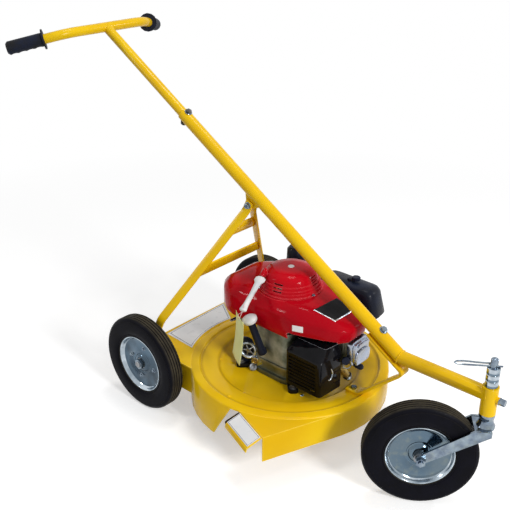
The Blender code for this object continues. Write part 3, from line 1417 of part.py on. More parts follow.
def build():
    clear_scene()
    root = guide("mower")
    boom = guide("boom_line", root, (0, BEND_Y, ARM_HEIGHT), (BOOM_RISE - math.pi / 2, 0, 0))
    arm = guide("arm_line", root, (0, BEND_Y, ARM_HEIGHT), (math.pi / 2, 0, 0))
    tilt = -math.atan2(math.sin(BAR_DROP), math.sin(BAR_SWEEP) * math.cos(BAR_DROP))
    bar = guide("bar_line", root, boom_point(BAR_STATION), (tilt, 0, 0))
    plane = guide("stay_plane", root, STAY_BOLT, (STAY_LEAN - math.pi / 2, 0, 0))
    caster = guide("caster_line", root, (0, HEAD_Y, 0), (0, 0, STEER_ANGLE))
    engine = guide("engine_seat", root, (0, 0, DECK_FLOOR))
    make_boom(boom)
    make_front_arm(arm)
    make_set_bolt(root)
    make_handle_tube(boom)
    make_handlebar(bar)
    make_stays(plane, root)
    make_front_bracket(root)
    make_frame_bolts(boom, root)
    make_fork(caster)
    make_spacers(caster)
    make_clip(caster)
    make_front_wheel(caster)
    make_rear_wheels(root)
    make_deck(root)
    make_deflector(root)
    make_crankcase(engine)
    make_crank(engine)
    make_blade(engine)
    make_cover(engine)
    make_starter(engine)
    make_breathing(engine)
    make_trim(engine)
    stand_at_origin(root)


build()
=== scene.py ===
"""Looks of the three-wheel lawn mower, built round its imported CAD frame.

Places are measured from the crank in plan and from the ground in height. The mower faces -Y and
its right side is towards -X.
"""
import json
import math

import bmesh
import bpy
from mathutils import Matrix, Vector
from mathutils.bvhtree import BVHTree


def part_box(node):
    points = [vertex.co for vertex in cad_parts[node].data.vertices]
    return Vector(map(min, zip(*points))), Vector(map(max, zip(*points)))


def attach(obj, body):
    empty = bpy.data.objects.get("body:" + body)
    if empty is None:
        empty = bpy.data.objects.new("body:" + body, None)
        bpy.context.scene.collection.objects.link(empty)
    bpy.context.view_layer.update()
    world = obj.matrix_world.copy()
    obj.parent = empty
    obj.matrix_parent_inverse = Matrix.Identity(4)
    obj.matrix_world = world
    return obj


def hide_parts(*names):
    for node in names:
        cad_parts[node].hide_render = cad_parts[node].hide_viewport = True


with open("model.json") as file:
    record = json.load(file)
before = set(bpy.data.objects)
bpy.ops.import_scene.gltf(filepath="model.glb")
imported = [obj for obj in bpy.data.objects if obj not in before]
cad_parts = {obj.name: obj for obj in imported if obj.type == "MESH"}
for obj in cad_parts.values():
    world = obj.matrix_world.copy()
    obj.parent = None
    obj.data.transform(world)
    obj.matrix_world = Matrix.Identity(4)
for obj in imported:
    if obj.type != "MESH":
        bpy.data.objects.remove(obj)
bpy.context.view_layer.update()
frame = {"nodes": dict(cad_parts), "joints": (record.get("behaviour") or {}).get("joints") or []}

# Photograph: camera place, heading, downward tilt and lens
CAMERA_PLACE = (-1.3620, -1.1086, 1.2645)
CAMERA_HEADING = math.radians(47.99)
CAMERA_TILT = math.radians(25.27)
CAMERA_LENS = 56.76

# Colours as the paint, plate, rubber or card has them, and colours of painted shade, highlight and
# reflection
YELLOW = (0.88, 0.57, 0.006, 1)
AMBER = (0.80, 0.47, 0.004, 1)
# Painted highlight for the deck's edges
YELLOW_EDGE_HIGHLIGHT = (1.0, 0.74, 0.10, 1)
# Painted shade for the foot of the deck's pressed steps
STEP_SHADE = (0.42, 0.22, 0.004, 1)
DECK_DUST = (0.60, 0.38, 0.02, 1)
RED = (0.56, 0.004, 0.012, 1)
DEEP_RED = (0.40, 0.002, 0.009, 1)
# Painted highlight for the red cover's edges
RED_EDGE_HIGHLIGHT = (0.86, 0.22, 0.24, 1)
ZINC = (0.28, 0.34, 0.39, 1)
# Painted dark reflection: the spacers' bands and the clouds on the rims' webs
BLUE_REFLECTION_ZINC = (0.10, 0.15, 0.20, 1)
PALE_ZINC = (0.62, 0.67, 0.72, 1)
MID_ZINC = (0.15, 0.19, 0.25, 1)
YELLOW_ZINC = (0.26, 0.28, 0.22, 1)
# Painted reflection on the rims: dark on the webs, bright on the lips
DISH_DARK_REFLECTION = (0.13, 0.17, 0.20, 1)
LIP_BRIGHT_REFLECTION = (0.55, 0.62, 0.68, 1)
# Painted shade: the rear rims' webs, which stand in shade
REAR_RIM_SHADE = (0.045, 0.060, 0.075, 1)
SILVER = (0.66, 0.68, 0.70, 1)
BLACK = (0.006, 0.006, 0.008, 1)
DEEP_BLACK = (0.002, 0.002, 0.003, 1)
GREY_SHEEN = (0.50, 0.52, 0.58, 1)
SOOT = (0.013, 0.013, 0.014, 1)
BLUE_BLACK = (0.012, 0.016, 0.032, 1)
WALL_RUBBER = (0.007, 0.007, 0.011, 1)
TREAD_DUST = (0.060, 0.052, 0.036, 1)
ALLOY = (0.34, 0.33, 0.26, 1)
OLIVE_ALLOY = (0.10, 0.11, 0.075, 1)
BLUE_ALLOY = (0.36, 0.41, 0.52, 1)
STEEL = (0.36, 0.37, 0.39, 1)
DARK_STEEL = (0.16, 0.16, 0.16, 1)
BURNT_STEEL = (0.12, 0.09, 0.06, 1)
BRASS = (0.44, 0.31, 0.09, 1)
DARK_BRASS = (0.22, 0.16, 0.06, 1)
PALE_GREY = (0.60, 0.62, 0.64, 1)
OFF_WHITE = (0.80, 0.80, 0.79, 1)
PAPER = (0.76, 0.77, 0.33, 1)
WORN_PAPER = (0.80, 0.82, 0.42, 1)
PINK = (0.74, 0.42, 0.46, 1)
PALE_PINK = (0.80, 0.62, 0.62, 1)
LABEL_WHITE = (0.86, 0.86, 0.86, 1)
LABEL_GREY = (0.80, 0.81, 0.82, 1)
LINE_GREY = (0.30, 0.33, 0.36, 1)
LINE_DARK = (0.20, 0.23, 0.27, 1)

# Studio light: diffuse sky, the floor's own glow, and lamps as (name, place, size, watts)
SKY_LIGHT = 0.34
FLOOR_GLOW = 0.42
FLOOR_GREY = (0.80, 0.80, 0.80, 1)
FLOOR_FADE = (0.7, 2.2)
LAMPS = (
    ("key_lamp", (-0.7, -3.1, 1.9), 0.7, 80),
    ("top_lamp", (0.3, 0.2, 3.2), 0.7, 20),
    ("left_lamp", (-2.3, 2.0, 1.65), 0.4, 13),
    ("right_lamp", (2.2, -1.9, 1.75), 0.4, 13),
)

# Sizes repeated from the CAD, in metres
TYRE_RADIUS = 0.127
TYRE_WIDTH = 0.045
RIM_RADIUS = 0.0765
HUB_RADIUS = 0.0142
HEAD_RADIUS = 0.0175
BOOM_RADIUS = 0.016
BOOM_RISE = math.radians(32.37)
BOLT_RADIUS = 0.004
BRACKET_PLATE = 0.006
SHEET = 0.003
DECK_TOP = 0.143
DECK_FLOOR = 0.128
STEP_FEET = (0.1800, 0.2255)
FOOT_TOP = 0.139
ENGINE_FEET = [(x, y) for x in (-0.088, 0.088) for y in (-0.086, 0.086)]
DOME_SEAT = 0.3574
DOME_TOP = 0.4063
GUARD_SHOULDER = 0.247
CLEAR = 0.0003

# Sizes and places of what is added here: bolts by their distance up the boom from its bend
HANDLE_BOLT_UP = 0.798
BRACKET_BOLT_UP = 0.0685
CROSSBAR_WIDER = 1.55
RIM_LIP_DEPTH = 0.0105
RIM_BOLT_REACH = 0.043
DOME_BOLT_REACH = 0.0782
WASHER_THICK = 0.0012
THREAD_PITCH = 0.00125
BOLT_TAIL = 0.002
WELD_RADIUS = 0.0017
LABEL_LIFT = 0.0003
LABEL_SEARCH = 0.05
RING_STEPS = 48
WHEEL_STEPS = 120
# Edges turning by more than these angles stay sharp in the shading, or are rounded off
SHARP_EDGE = math.radians(38)
ROUNDED_EDGE = math.radians(42)
# Deck screws as (place from the crank, finish)
DECK_SCREWS = (
    ((-0.1074, 0.1400, 0.1322), "yellow"),
    ((-0.2188, 0.0048, 0.1390), "yellow"),
    ((-0.0880, -0.1140, DECK_FLOOR), "zinc"),
)

UP = Vector((0, 0, 1))
DOWN = Vector((0, 0, -1))
FINISHES = {}


def corners(node):
    """A CAD node's lowest and highest corners."""
    low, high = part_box(node)
    return Vector(low), Vector(high)


def middle_of(node):
    """The middle of a CAD node's box."""
    low, high = corners(node)
    return (low + high) / 2


CRANK = Vector((*middle_of("crankshaft").xy, 0))


def at(x, y, z):
    """A place measured from the crank and from the ground."""
    return CRANK + Vector((x, y, z))


BEND = at(0, -0.322, 0.285)
UP_BOOM = Vector((0, math.cos(BOOM_RISE), math.sin(BOOM_RISE)))
BELOW_BOOM = Vector((0, math.sin(BOOM_RISE), -math.cos(BOOM_RISE)))


def node_in(owner, kind, **inputs):
    """Add a shader node to a material or the world; each input is a value or a node's output."""
    made = owner.node_tree.nodes.new(kind)
    for name, source in inputs.items():
        join(owner, source, made.inputs[name.replace("_", " ")])
    return made


def join(owner, source, target):
    """Give a node's input another node's output, or a fixed value."""
    if isinstance(source, bpy.types.NodeSocket):
        owner.node_tree.links.new(source, target)
    else:
        target.default_value = source


def shader_of(material):
    """The material's main shader."""
    return material.node_tree.nodes["Principled BSDF"]


def place_in(material):
    """The point's place on the mower at rest."""
    return node_in(material, "ShaderNodeTexCoord").outputs["Object"]


def split_in(material, vector):
    """A vector's three parts."""
    return node_in(material, "ShaderNodeSeparateXYZ", Vector=vector).outputs


def noise_in(material, scale, detail=3.0):
    """Noise fixed to the piece."""
    settings = dict(Vector=place_in(material), Scale=scale, Detail=detail)
    return node_in(material, "ShaderNodeTexNoise", **settings).outputs["Fac"]


def ranged(owner, value, low, high, start=0.35, end=0.65):
    """A value that runs from low to high while the one it follows runs from start to end."""
    limits = dict(From_Min=start, From_Max=end, To_Min=low, To_Max=high)
    return node_in(owner, "ShaderNodeMapRange", Value=value, **limits).outputs["Result"]


def blended(material, share, first, second):
    """A colour between first and second; either may be a colour or another node's output."""
    made = node_in(material, "ShaderNodeMix")
    made.data_type = "RGBA"
    join(material, share, made.inputs[0])
    join(material, first, made.inputs[6])
    join(material, second, made.inputs[7])
    return made.outputs[2]


def combined(owner, operation, first, second=0.0):
    """Two values joined by a maths operation."""
    made = node_in(owner, "ShaderNodeMath")
    made.operation = operation
    join(owner, first, made.inputs[0])
    join(owner, second, made.inputs[1])
    return made.outputs[0]


def likeness_in(material, first, second):
    """How nearly two directions agree: 1 where they are the same."""
    made = node_in(material, "ShaderNodeVectorMath")
    made.operation = "DOT_PRODUCT"
    join(material, first, made.inputs[0])
    join(material, second, made.inputs[1])
    return made.outputs["Value"]


def from_crank(material):
    """The point's distance from the crank, in plan."""
    place = split_in(material, place_in(material))
    across = combined(material, "SUBTRACT", place["X"], CRANK.x)
    along = combined(material, "SUBTRACT", place["Y"], CRANK.y)
    squares = [combined(material, "MULTIPLY", side, side) for side in (across, along)]
    return combined(material, "SQRT", combined(material, "ADD", *squares))


def bumped(material, height, depth):
    """Small relief of this depth in metres."""
    made = node_in(material, "ShaderNodeBump", Height=height, Strength=1.0, Distance=depth)
    join(material, made.outputs["Normal"], shader_of(material).inputs["Normal"])


def surface(name, colour, other, rough, metallic=0.0, *, mottle, gloss=0.25, grain=400.0, depth=0.0001):
    """A finish whose colour and roughness vary a little, with fine relief; gloss is its specular level."""
    made = bpy.data.materials.new(name)
    made.use_nodes = True
    target = shader_of(made).inputs
    target["Metallic"].default_value = metallic
    target["Specular IOR Level"].default_value = gloss
    share = ranged(made, noise_in(made, mottle), 0, 1)
    join(made, blended(made, share, colour, other), target["Base Color"])
    join(made, ranged(made, noise_in(made, mottle * 5), *rough), target["Roughness"])
    bumped(made, noise_in(made, grain, 2.0), depth)
    FINISHES[name] = made
    return made


def over(material, share, colour, rough=None):
    """Lay another colour, and roughness, over a finish where share is 1."""
    target = shader_of(material).inputs
    under = target["Base Color"].links[0].from_socket
    join(material, blended(material, share, under, colour), target["Base Color"])
    if rough is not None:
        plain = target["Roughness"].links[0].from_socket
        lift = combined(material, "MULTIPLY", share, rough)
        join(material, combined(material, "MAXIMUM", plain, lift), target["Roughness"])


def dust_on_top(material, colour, amount):
    """Dust that settles in patches on faces that look up."""
    normal = node_in(material, "ShaderNodeNewGeometry").outputs["Normal"]
    facing = ranged(material, split_in(material, normal)["Z"], 0.0, amount, 0.6, 1.0)
    patches = ranged(material, noise_in(material, 14.0, 5.0), 0, 1, 0.48, 0.72)
    over(material, combined(material, "MULTIPLY", facing, patches), colour)


def painted_edge_highlights(material, colour, reach, lowest=-1.0):
    """A painted highlight along the piece's edges, within this reach of them and above a height, for light
    caught on rounded edges.
    """
    rounded_off = node_in(material, "ShaderNodeBevel", Radius=reach)
    rounded_off.samples = 6
    normal = node_in(material, "ShaderNodeNewGeometry").outputs["Normal"]
    likeness = likeness_in(material, rounded_off.outputs["Normal"], normal)
    highlit = ranged(material, likeness, 1.0, 0.0, 0.90, 0.985)
    patches = ranged(material, noise_in(material, 25.0, 4.0), 0.35, 1.0, 0.35, 0.6)
    height = split_in(material, place_in(material))["Z"]
    high = ranged(material, height, 0.0, 1.0, lowest, lowest + 0.004)
    share = combined(material, "MULTIPLY", combined(material, "MULTIPLY", highlit, patches), high)
    over(material, share, colour)


def make_zinc_reflection_bands():
    """Zinc plate with bands of painted dark blue reflection round each of the caster's spacers, as bands of
    reflection look on bright rings.
    """
    made = surface("zinc_reflection_bands", PALE_ZINC, ZINC, (0.08, 0.18), 1.0, mottle=40, grain=900, depth=0.00002)
    low, high = corners("spacer_low")
    above = combined(made, "SUBTRACT", split_in(made, place_in(made))["Z"], low.z)
    wave = combined(made, "SINE", combined(made, "MULTIPLY", above, math.tau / (high.z - low.z)))
    # Painted reflection bands
    over(made, ranged(made, wave, 0.0, 0.85, 0.1, 0.7), BLUE_REFLECTION_ZINC)


def painted_step_shade_rings(material, colour):
    """Painted shade along the foot of the deck's pressed steps, which run round the crank."""
    radius = from_crank(material)
    underside = DECK_FLOOR - SHEET
    height = split_in(material, place_in(material))["Z"]
    level = ranged(material, height, 0.0, 1.0, underside, underside + 0.001)
    for foot in STEP_FEET:
        away = combined(material, "ABSOLUTE", combined(material, "SUBTRACT", radius, foot))
        ring = ranged(material, away, 0.60, 0.0, 0.0004, 0.0065)
        over(material, combined(material, "MULTIPLY", ring, level), colour)


def make_tyre_rubber(name, axle):
    """Rubber with dark side walls and a dusty tread; axle is the wheel's axis."""
    made = surface(name, WALL_RUBBER, BLACK, (0.30, 0.46), gloss=0.03, mottle=30, grain=500, depth=0.00008)
    normal = node_in(made, "ShaderNodeTexCoord").outputs["Normal"]
    sideways = combined(made, "ABSOLUTE", likeness_in(made, normal, axle))
    tread = ranged(made, sideways, 1.0, 0.0, 0.25, 0.75)
    worn = combined(made, "MULTIPLY", tread, ranged(made, noise_in(made, 45.0, 5.0), 0.55, 1.0))
    over(made, worn, TREAD_DUST, 0.85)


def make_case_alloy():
    """Bare cast alloy, darker towards the deck; the foot arms, out from the case, are painted black."""
    made = surface("alloy", ALLOY, OLIVE_ALLOY, (0.34, 0.56), 0.8, mottle=26, grain=500, depth=0.00012)
    height = split_in(made, place_in(made))["Z"]
    # Darker towards the deck
    over(made, ranged(made, height, 0.8, 0.0, FOOT_TOP + 0.003, FOOT_TOP + 0.046), OLIVE_ALLOY)
    apart = ranged(made, from_crank(made), 0.0, 1.0, 0.101, 0.103)
    low = ranged(made, height, 1.0, 0.0, FOOT_TOP + 0.001, FOOT_TOP + 0.002)
    over(made, combined(made, "MULTIPLY", apart, low), SOOT, 0.4)


def caster_axle():
    """The caster wheel's axis, as the record's joint gives it."""
    return next(tuple(joint["axis"]) for joint in frame["joints"] if joint["name"] == "front_wheel_spin")


def make_paints():
    """Enamels of the frame, the deck, the engine's cover and the guard, with painted highlights along their
    edges, painted shade at the foot of the deck's steps, and dust on the deck.
    """
    surface("yellow", YELLOW, AMBER, (0.16, 0.28), mottle=5, gloss=0.14, grain=60, depth=0.00001)
    deck = surface("deck_yellow", YELLOW, AMBER, (0.12, 0.26), mottle=6, gloss=0.08, grain=60, depth=0.00006)
    cover = surface("red", RED, DEEP_RED, (0.05, 0.12), mottle=6, gloss=0.05, grain=80, depth=0.00001)
    thin = dict(grain=300, depth=0.00002)
    guard = surface("black_paint", DEEP_BLACK, BLACK, (0.05, 0.12), mottle=25, gloss=0.13, **thin)
    # Painted shade at the foot of the deck's steps
    painted_step_shade_rings(deck, STEP_SHADE)
    # Painted highlights along the edges of the deck, the red cover and the guard's top
    painted_edge_highlights(deck, YELLOW_EDGE_HIGHLIGHT, 0.0045)
    painted_edge_highlights(cover, RED_EDGE_HIGHLIGHT, 0.0014)
    painted_edge_highlights(guard, GREY_SHEEN, 0.0026, GUARD_SHOULDER)
    dust_on_top(deck, DECK_DUST, 0.2)


def make_plating():
    """Zinc plate of the bolts and the caster, and of the rims: the webs dark and the lips bright as painted
    reflection, the rear webs darker still as painted shade.
    """
    fine = dict(metallic=1.0, grain=900, depth=0.00002)
    pressed = dict(metallic=1.0, mottle=16, grain=50, depth=0.0002)
    bolts = surface("zinc", ZINC, MID_ZINC, (0.10, 0.24), mottle=60, **fine)
    # The rims' webs: a dark painted reflection, with clouds of painted reflection
    web = surface("rim_zinc", DISH_DARK_REFLECTION, BLUE_REFLECTION_ZINC, (0.08, 0.20), **pressed)
    # The rear rims' webs: darker as painted shade
    surface("rear_rim_painted_shade", REAR_RIM_SHADE, BLUE_REFLECTION_ZINC, (0.08, 0.20), **pressed)
    # The rims' lips: a bright painted reflection
    surface("rim_lip", LIP_BRIGHT_REFLECTION, ZINC, (0.06, 0.16), mottle=30, **fine)
    for made in (bolts, web):
        over(made, ranged(made, noise_in(made, 55.0, 4.0), 0, 0.4, 0.5, 0.75), YELLOW_ZINC)


def make_bare_metals():
    """Cast alloy, turned and heated steel, brass, and bolts with a black finish."""
    bare = dict(metallic=0.85, grain=600, depth=0.0002)
    surface("bare_alloy", ALLOY, OLIVE_ALLOY, (0.30, 0.48), mottle=40, **bare)
    surface("bright_alloy", BLUE_ALLOY, STEEL, (0.14, 0.30), 0.95, mottle=45, grain=120, depth=0.0001)
    surface("steel", STEEL, DARK_STEEL, (0.22, 0.38), 1.0, mottle=50, grain=900, depth=0.00002)
    surface("hot_steel", DARK_STEEL, BURNT_STEEL, (0.4, 0.6), mottle=25, **bare)
    surface("brass", BRASS, DARK_BRASS, (0.25, 0.45), mottle=80, **bare)
    surface("dark_bolt", SOOT, DARK_STEEL, (0.25, 0.45), 0.6, mottle=60, grain=900, depth=0.00004)


def make_rubbers_and_plastics():
    """Tyres, grips, black and pale plastic, and the starter's rope."""
    make_tyre_rubber("fixed_tyre", (1, 0, 0))
    make_tyre_rubber("caster_tyre", caster_axle())
    surface("grip_rubber", BLUE_BLACK, SOOT, (0.45, 0.60), mottle=40, gloss=0.1, grain=600)
    surface("plastic", BLACK, BLUE_BLACK, (0.24, 0.36), mottle=12, gloss=0.1, grain=600, depth=0.00004)
    surface("pale_grey", PALE_GREY, OFF_WHITE, (0.28, 0.42), mottle=30, grain=800)
    surface("rope", OFF_WHITE, PALE_GREY, (0.7, 0.9), mottle=300, grain=700, depth=0.0006)


def make_label_finishes():
    """Bare labels, their lines, the cover's dark panel, and the hang tag's card and tie."""
    flat = dict(grain=300, depth=0.00002)
    surface("label", LABEL_WHITE, LABEL_GREY, (0.25, 0.4), mottle=12, **flat)
    surface("label_line", LINE_GREY, LINE_DARK, (0.3, 0.4), mottle=60, **flat)
    surface("silver", SILVER, ZINC, (0.2, 0.34), 0.8, mottle=50, **flat)
    surface("panel", BLACK, SOOT, (0.3, 0.45), gloss=0.05, mottle=30, **flat)
    surface("paper", PAPER, WORN_PAPER, (0.6, 0.75), mottle=30, grain=500, depth=0.00006)
    surface("tie", PINK, PALE_PINK, (0.4, 0.6), mottle=90, **flat)


def make_materials():
    """Every finish on the mower, by name."""
    make_paints()
    make_plating()
    make_zinc_reflection_bands()
    make_case_alloy()
    make_bare_metals()
    make_rubbers_and_plastics()
    make_label_finishes()


NODE_FINISHES = {
    "yellow": "boom_tube front_arm handle_tube handlebar rear_stay_right rear_stay_left "
    "stay_crossbar_upper stay_crossbar_lower front_bracket",
    "deck_yellow": "deck_shell chute_deflector",
    "red": "engine_cover starter_housing",
    "zinc": "set_bolt bracket_bolt stay_bolt deck_bolt front_axle_bolt front_axle_nut axle_nut_right "
    "axle_nut_left fork hitch_clip",
    "zinc_reflection_bands": "spacer_low spacer_middle spacer_top",
    "rim_zinc": "front_wheel_rim rear_wheel_right_rim rear_wheel_left_rim",
    "grip_rubber": "grip_right grip_left spark_plug",
    "fixed_tyre": "rear_wheel_right_tyre rear_wheel_left_tyre",
    "caster_tyre": "front_wheel_tyre",
    "plastic": "starter_pulley air_cleaner fuel_tank fuel_cap oil_filler_tube",
    "black_paint": "muffler_guard throttle_lever",
    "dark_bolt": "handle_bolt",
    "alloy": "crankcase",
    "bare_alloy": "carburettor flywheel",
    "bright_alloy": "valve_cover",
    "steel": "front_wheel_hub rear_wheel_right_hub rear_wheel_left_hub rear_axle crankshaft blade_bar "
    "blade_bolt blade_tip_a blade_tip_b",
    "hot_steel": "muffler",
    "pale_grey": "starter_grip oil_cap",
    "rope": "starter_rope",
}
# Width of the soft edge on pieces whose edges catch the light
EDGE_WIDTHS = {
    "deck_shell": 0.0012, "engine_cover": 0.0024, "starter_housing": 0.0007, "muffler_guard": 0.0024,
    "front_bracket": 0.0010, "rear_stay_right": 0.0008, "rear_stay_left": 0.0008, "chute_deflector": 0.0008,
    "fork": 0.0006, "crankcase": 0.0008, "valve_cover": 0.0012, "air_cleaner": 0.0020, "fuel_tank": 0.0020,
}


def make_smoother():
    """A node group that shades a piece smooth, apart from its sharp edges."""
    group = bpy.data.node_groups.new("smooth_by_angle", "GeometryNodeTree")
    for way in ("INPUT", "OUTPUT"):
        group.interface.new_socket(name="Geometry", in_out=way, socket_type="NodeSocketGeometry")
    start = group.nodes.new("NodeGroupInput")
    end = group.nodes.new("NodeGroupOutput")
    faces = group.nodes.new("GeometryNodeSetShadeSmooth")
    edges = group.nodes.new("GeometryNodeSetShadeSmooth")
    edges.domain = "EDGE"
    edges.inputs["Shade Smooth"].default_value = False
    angle = group.nodes.new("GeometryNodeInputMeshEdgeAngle")
    sharp = group.nodes.new("FunctionNodeCompare")
    sharp.operation = "GREATER_THAN"
    sharp.inputs[1].default_value = SHARP_EDGE
    link = group.links.new
    link(start.outputs[0], faces.inputs["Geometry"])
    link(faces.outputs["Geometry"], edges.inputs["Geometry"])
    link(angle.outputs["Unsigned Angle"], sharp.inputs[0])
    link(sharp.outputs[0], edges.inputs["Selection"])
    link(edges.outputs["Geometry"], end.inputs[0])
    return group


def soften(piece, smoother, width):
    """Close a piece's seams, round its sharp edges to this width and shade its curves smooth."""
    seams = piece.modifiers.new("close_seams", "WELD")
    seams.merge_threshold = 0.00001
    if width:
        edges = piece.modifiers.new("soft_edges", "BEVEL")
        edges.width = width
        edges.segments = 2
        edges.limit_method = "ANGLE"
        edges.angle_limit = ROUNDED_EDGE
    shading = piece.modifiers.new("smooth_curves", "NODES")
    shading.node_group = smoother


def finish_nodes(smoother):
    """Give each CAD piece its finish, smooth its round faces and soften its edges."""
    for finish, names in NODE_FINISHES.items():
        for name in names.split():
            piece = frame["nodes"][name]
            for place in piece.material_slots:
                place.material = FINISHES[finish]
            soften(piece, smoother, EDGE_WIDTHS.get(name, 0.0))


def placed(name, data):
    """A new object in the scene."""
    made = bpy.data.objects.new(name, data)
    bpy.context.scene.collection.objects.link(made)
    return made


def piece_from(name, shape, finishes, body="frame", width=0.0):
    """A new piece from a mesh under construction, riding on a CAD body."""
    bmesh.ops.remove_doubles(shape, verts=shape.verts, dist=0.000002)
    bmesh.ops.recalc_face_normals(shape, faces=shape.faces)
    mesh = bpy.data.meshes.new(name)
    shape.to_mesh(mesh)
    shape.free()
    for finish in finishes.split():
        mesh.materials.append(FINISHES[finish])
    made = placed(name, mesh)
    soften(made, bpy.data.node_groups["smooth_by_angle"], width)
    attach(made, body)
    return made


def wire(name, points, radius, finish, body="frame"):
    """A round wire on a smooth curve led by points; radius may be one value for each point."""
    line = bpy.data.curves.new(name, "CURVE")
    line.dimensions = "3D"
    line.bevel_depth = 1.0
    line.bevel_resolution = 3
    line.use_fill_caps = True
    line.resolution_u = 4
    spline = line.splines.new("NURBS")
    spline.points.add(len(points) - 1)
    spline.order_u = 3
    spline.use_endpoint_u = True
    for index, (point, target) in enumerate(zip(points, spline.points)):
        target.co = (*point, 1)
        target.radius = radius if isinstance(radius, float) else radius[index]
    line.materials.append(FINISHES[finish])
    made = placed(name, line)
    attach(made, body)
    return made


def lofted(rings, looped=False):
    """Faces between rings of equal count; looped joins the last ring to the first."""
    shape = bmesh.new()
    rows = [[shape.verts.new(point) for point in ring] for ring in rings]
    pairs = list(zip(rows, rows[1:]))
    if looped:
        pairs.append((rows[-1], rows[0]))
    for first, second in pairs:
        for index in range(len(first)):
            after = (index + 1) % len(first)
            shape.faces.new((first[index], first[after], second[after], second[index]))
    if not looped:
        shape.faces.new(rows[0])
        shape.faces.new(rows[-1])
    return shape


def sheet_of(rows):
    """A sheet of four-cornered faces over rows of points."""
    shape = bmesh.new()
    grid = [[shape.verts.new(point) for point in row] for row in rows]
    for first, second in zip(grid, grid[1:]):
        for step in range(len(first) - 1):
            shape.faces.new((first[step], first[step + 1], second[step + 1], second[step]))
    return shape


def turned(outline, steps, place, axis):
    """A closed outline of (radius, along) points turned round the axis through a place."""
    turn = Vector(axis).to_track_quat("Z", "X").to_matrix()
    rings = []
    for step in range(steps):
        angle = math.tau * step / steps
        out = Vector((math.cos(angle), math.sin(angle), 0))
        rings.append([place + turn @ (out * radius + Vector((0, 0, along))) for radius, along in outline])
    return lofted(rings, looped=True)


def extruded(outline, place, axes, depth):
    """A flat outline in the plane of the first two axes, raised along the third."""
    across, up, out = (Vector(axis) for axis in axes)
    ring = [place + across * x + up * y for x, y in outline]
    return lofted([ring, [point + out * depth for point in ring]])


def added(shape, other):
    """Put another mesh under construction into this one."""
    mesh = bpy.data.meshes.new("joined")
    other.to_mesh(mesh)
    other.free()
    shape.from_mesh(mesh)
    bpy.data.meshes.remove(mesh)
    return shape


def rounded(outline, rounds):
    """A closed outline with its corners cut again and again into curves."""
    for _ in range(rounds):
        cut = []
        for index, (x, y) in enumerate(outline):
            after_x, after_y = outline[(index + 1) % len(outline)]
            cut.append((x * 0.75 + after_x * 0.25, y * 0.75 + after_y * 0.25))
            cut.append((x * 0.25 + after_x * 0.75, y * 0.25 + after_y * 0.75))
        outline = cut
    return outline


def arc(centre, radius, start, end, steps):
    """Points on an arc of a flat outline, its angles in degrees."""
    turns = [math.radians(start + (end - start) * step / steps) for step in range(steps + 1)]
    return [(centre[0] + radius * math.cos(turn), centre[1] + radius * math.sin(turn)) for turn in turns]


def hex_rings(across, levels):
    """Chamfered hexagon rings: at each level the corners are cut back to a share of the width."""
    rings = []
    for height, share in levels:
        ring = []
        for step in range(RING_STEPS):
            angle = math.tau * step / RING_STEPS
            flat = across / 2 / math.cos(angle % (math.pi / 3) - math.pi / 6)
            radius = min(flat, across * share)
            ring.append(Vector((radius * math.cos(angle), radius * math.sin(angle), height)))
        rings.append(ring)
    return rings


def round_ring(radius, height, steps=RING_STEPS):
    """A level ring of points."""
    turns = [math.tau * step / steps for step in range(steps)]
    return [Vector((radius * math.cos(turn), radius * math.sin(turn), height)) for turn in turns]


def stood(rings, place, axis):
    """Rings moved from the origin to a place, with their Z turned to an axis."""
    turn = Vector(axis).to_track_quat("Z", "X").to_matrix()
    return [[place + turn @ point for point in ring] for ring in rings]


def rings_of(outline, place, axis, steps=40):
    """A capped round solid from (radius, height) points, lowest first."""
    return lofted(stood([round_ring(radius, height, steps) for radius, height in outline], place, axis))


def ring_points(centre, axis, radius, count, start):
    """Points round an axis, from a start angle."""
    turn = Vector(axis).to_track_quat("Z", "X").to_matrix()
    angles = [start + math.tau * index / count for index in range(count)]
    return [centre + turn @ Vector((radius * math.cos(a), radius * math.sin(a), 0)) for a in angles]


def washer(place, axis, outer, bore, thick=WASHER_THICK):
    """A flat ring with softened rims."""
    lip = thick * 0.3
    outline = [(bore, lip), (bore + lip, 0), (outer - lip, 0), (outer, lip), (outer, thick - lip)]
    outline += [(outer - lip, thick), (bore + lip, thick), (bore, thick - lip)]
    return turned(outline, 48, place, axis)


def thread(place, axis, radius, length):
    """The threaded end of a bolt: ridges, and a chamfered tip."""
    outline = [(0.0, 0.0)]
    for index in range(int(length / THREAD_PITCH) - 1):
        outline += [(radius * 0.92, THREAD_PITCH * index), (radius * 1.02, THREAD_PITCH * (index + 0.5))]
    outline += [(radius * 0.8, length), (0.0, length)]
    return turned(outline, 32, place, axis)


def nut(name, place, axis, finish="zinc", across=0.013, bore=BOLT_RADIUS, height=0.0065):
    """A hex nut on its washer, with the bolt's threaded end standing out."""
    axis = Vector(axis).normalized()
    shape = washer(place, axis, across * 0.68, bore)
    base = place + axis * WASHER_THICK
    levels = [(0.0, 0.54), (height * 0.08, 0.6), (height * 0.86, 0.6), (height, 0.5)]
    rings = hex_rings(across, levels) + [round_ring(bore, height), round_ring(bore, 0.0)]
    added(shape, lofted(stood(rings, base, axis), looped=True))
    added(shape, thread(base, axis, bore, height + BOLT_TAIL))
    return piece_from(name, shape, finish)


def bolt_head(name, place, axis, finish, across, flange, height, body="frame"):
    """A flange bolt's head: a dished flange under a chamfered hexagon."""
    rings = [
        round_ring(flange * 0.97, 0.0),
        round_ring(flange, 0.0006),
        round_ring(across * 0.62, height * 0.34),
        *hex_rings(across, [(height * 0.35, 0.6), (height * 0.85, 0.6), (height, 0.48)]),
        round_ring(across * 0.36, height),
        round_ring(across * 0.3, height * 0.85),
    ]
    return piece_from(name, lofted(stood(rings, place, axis)), finish, body)


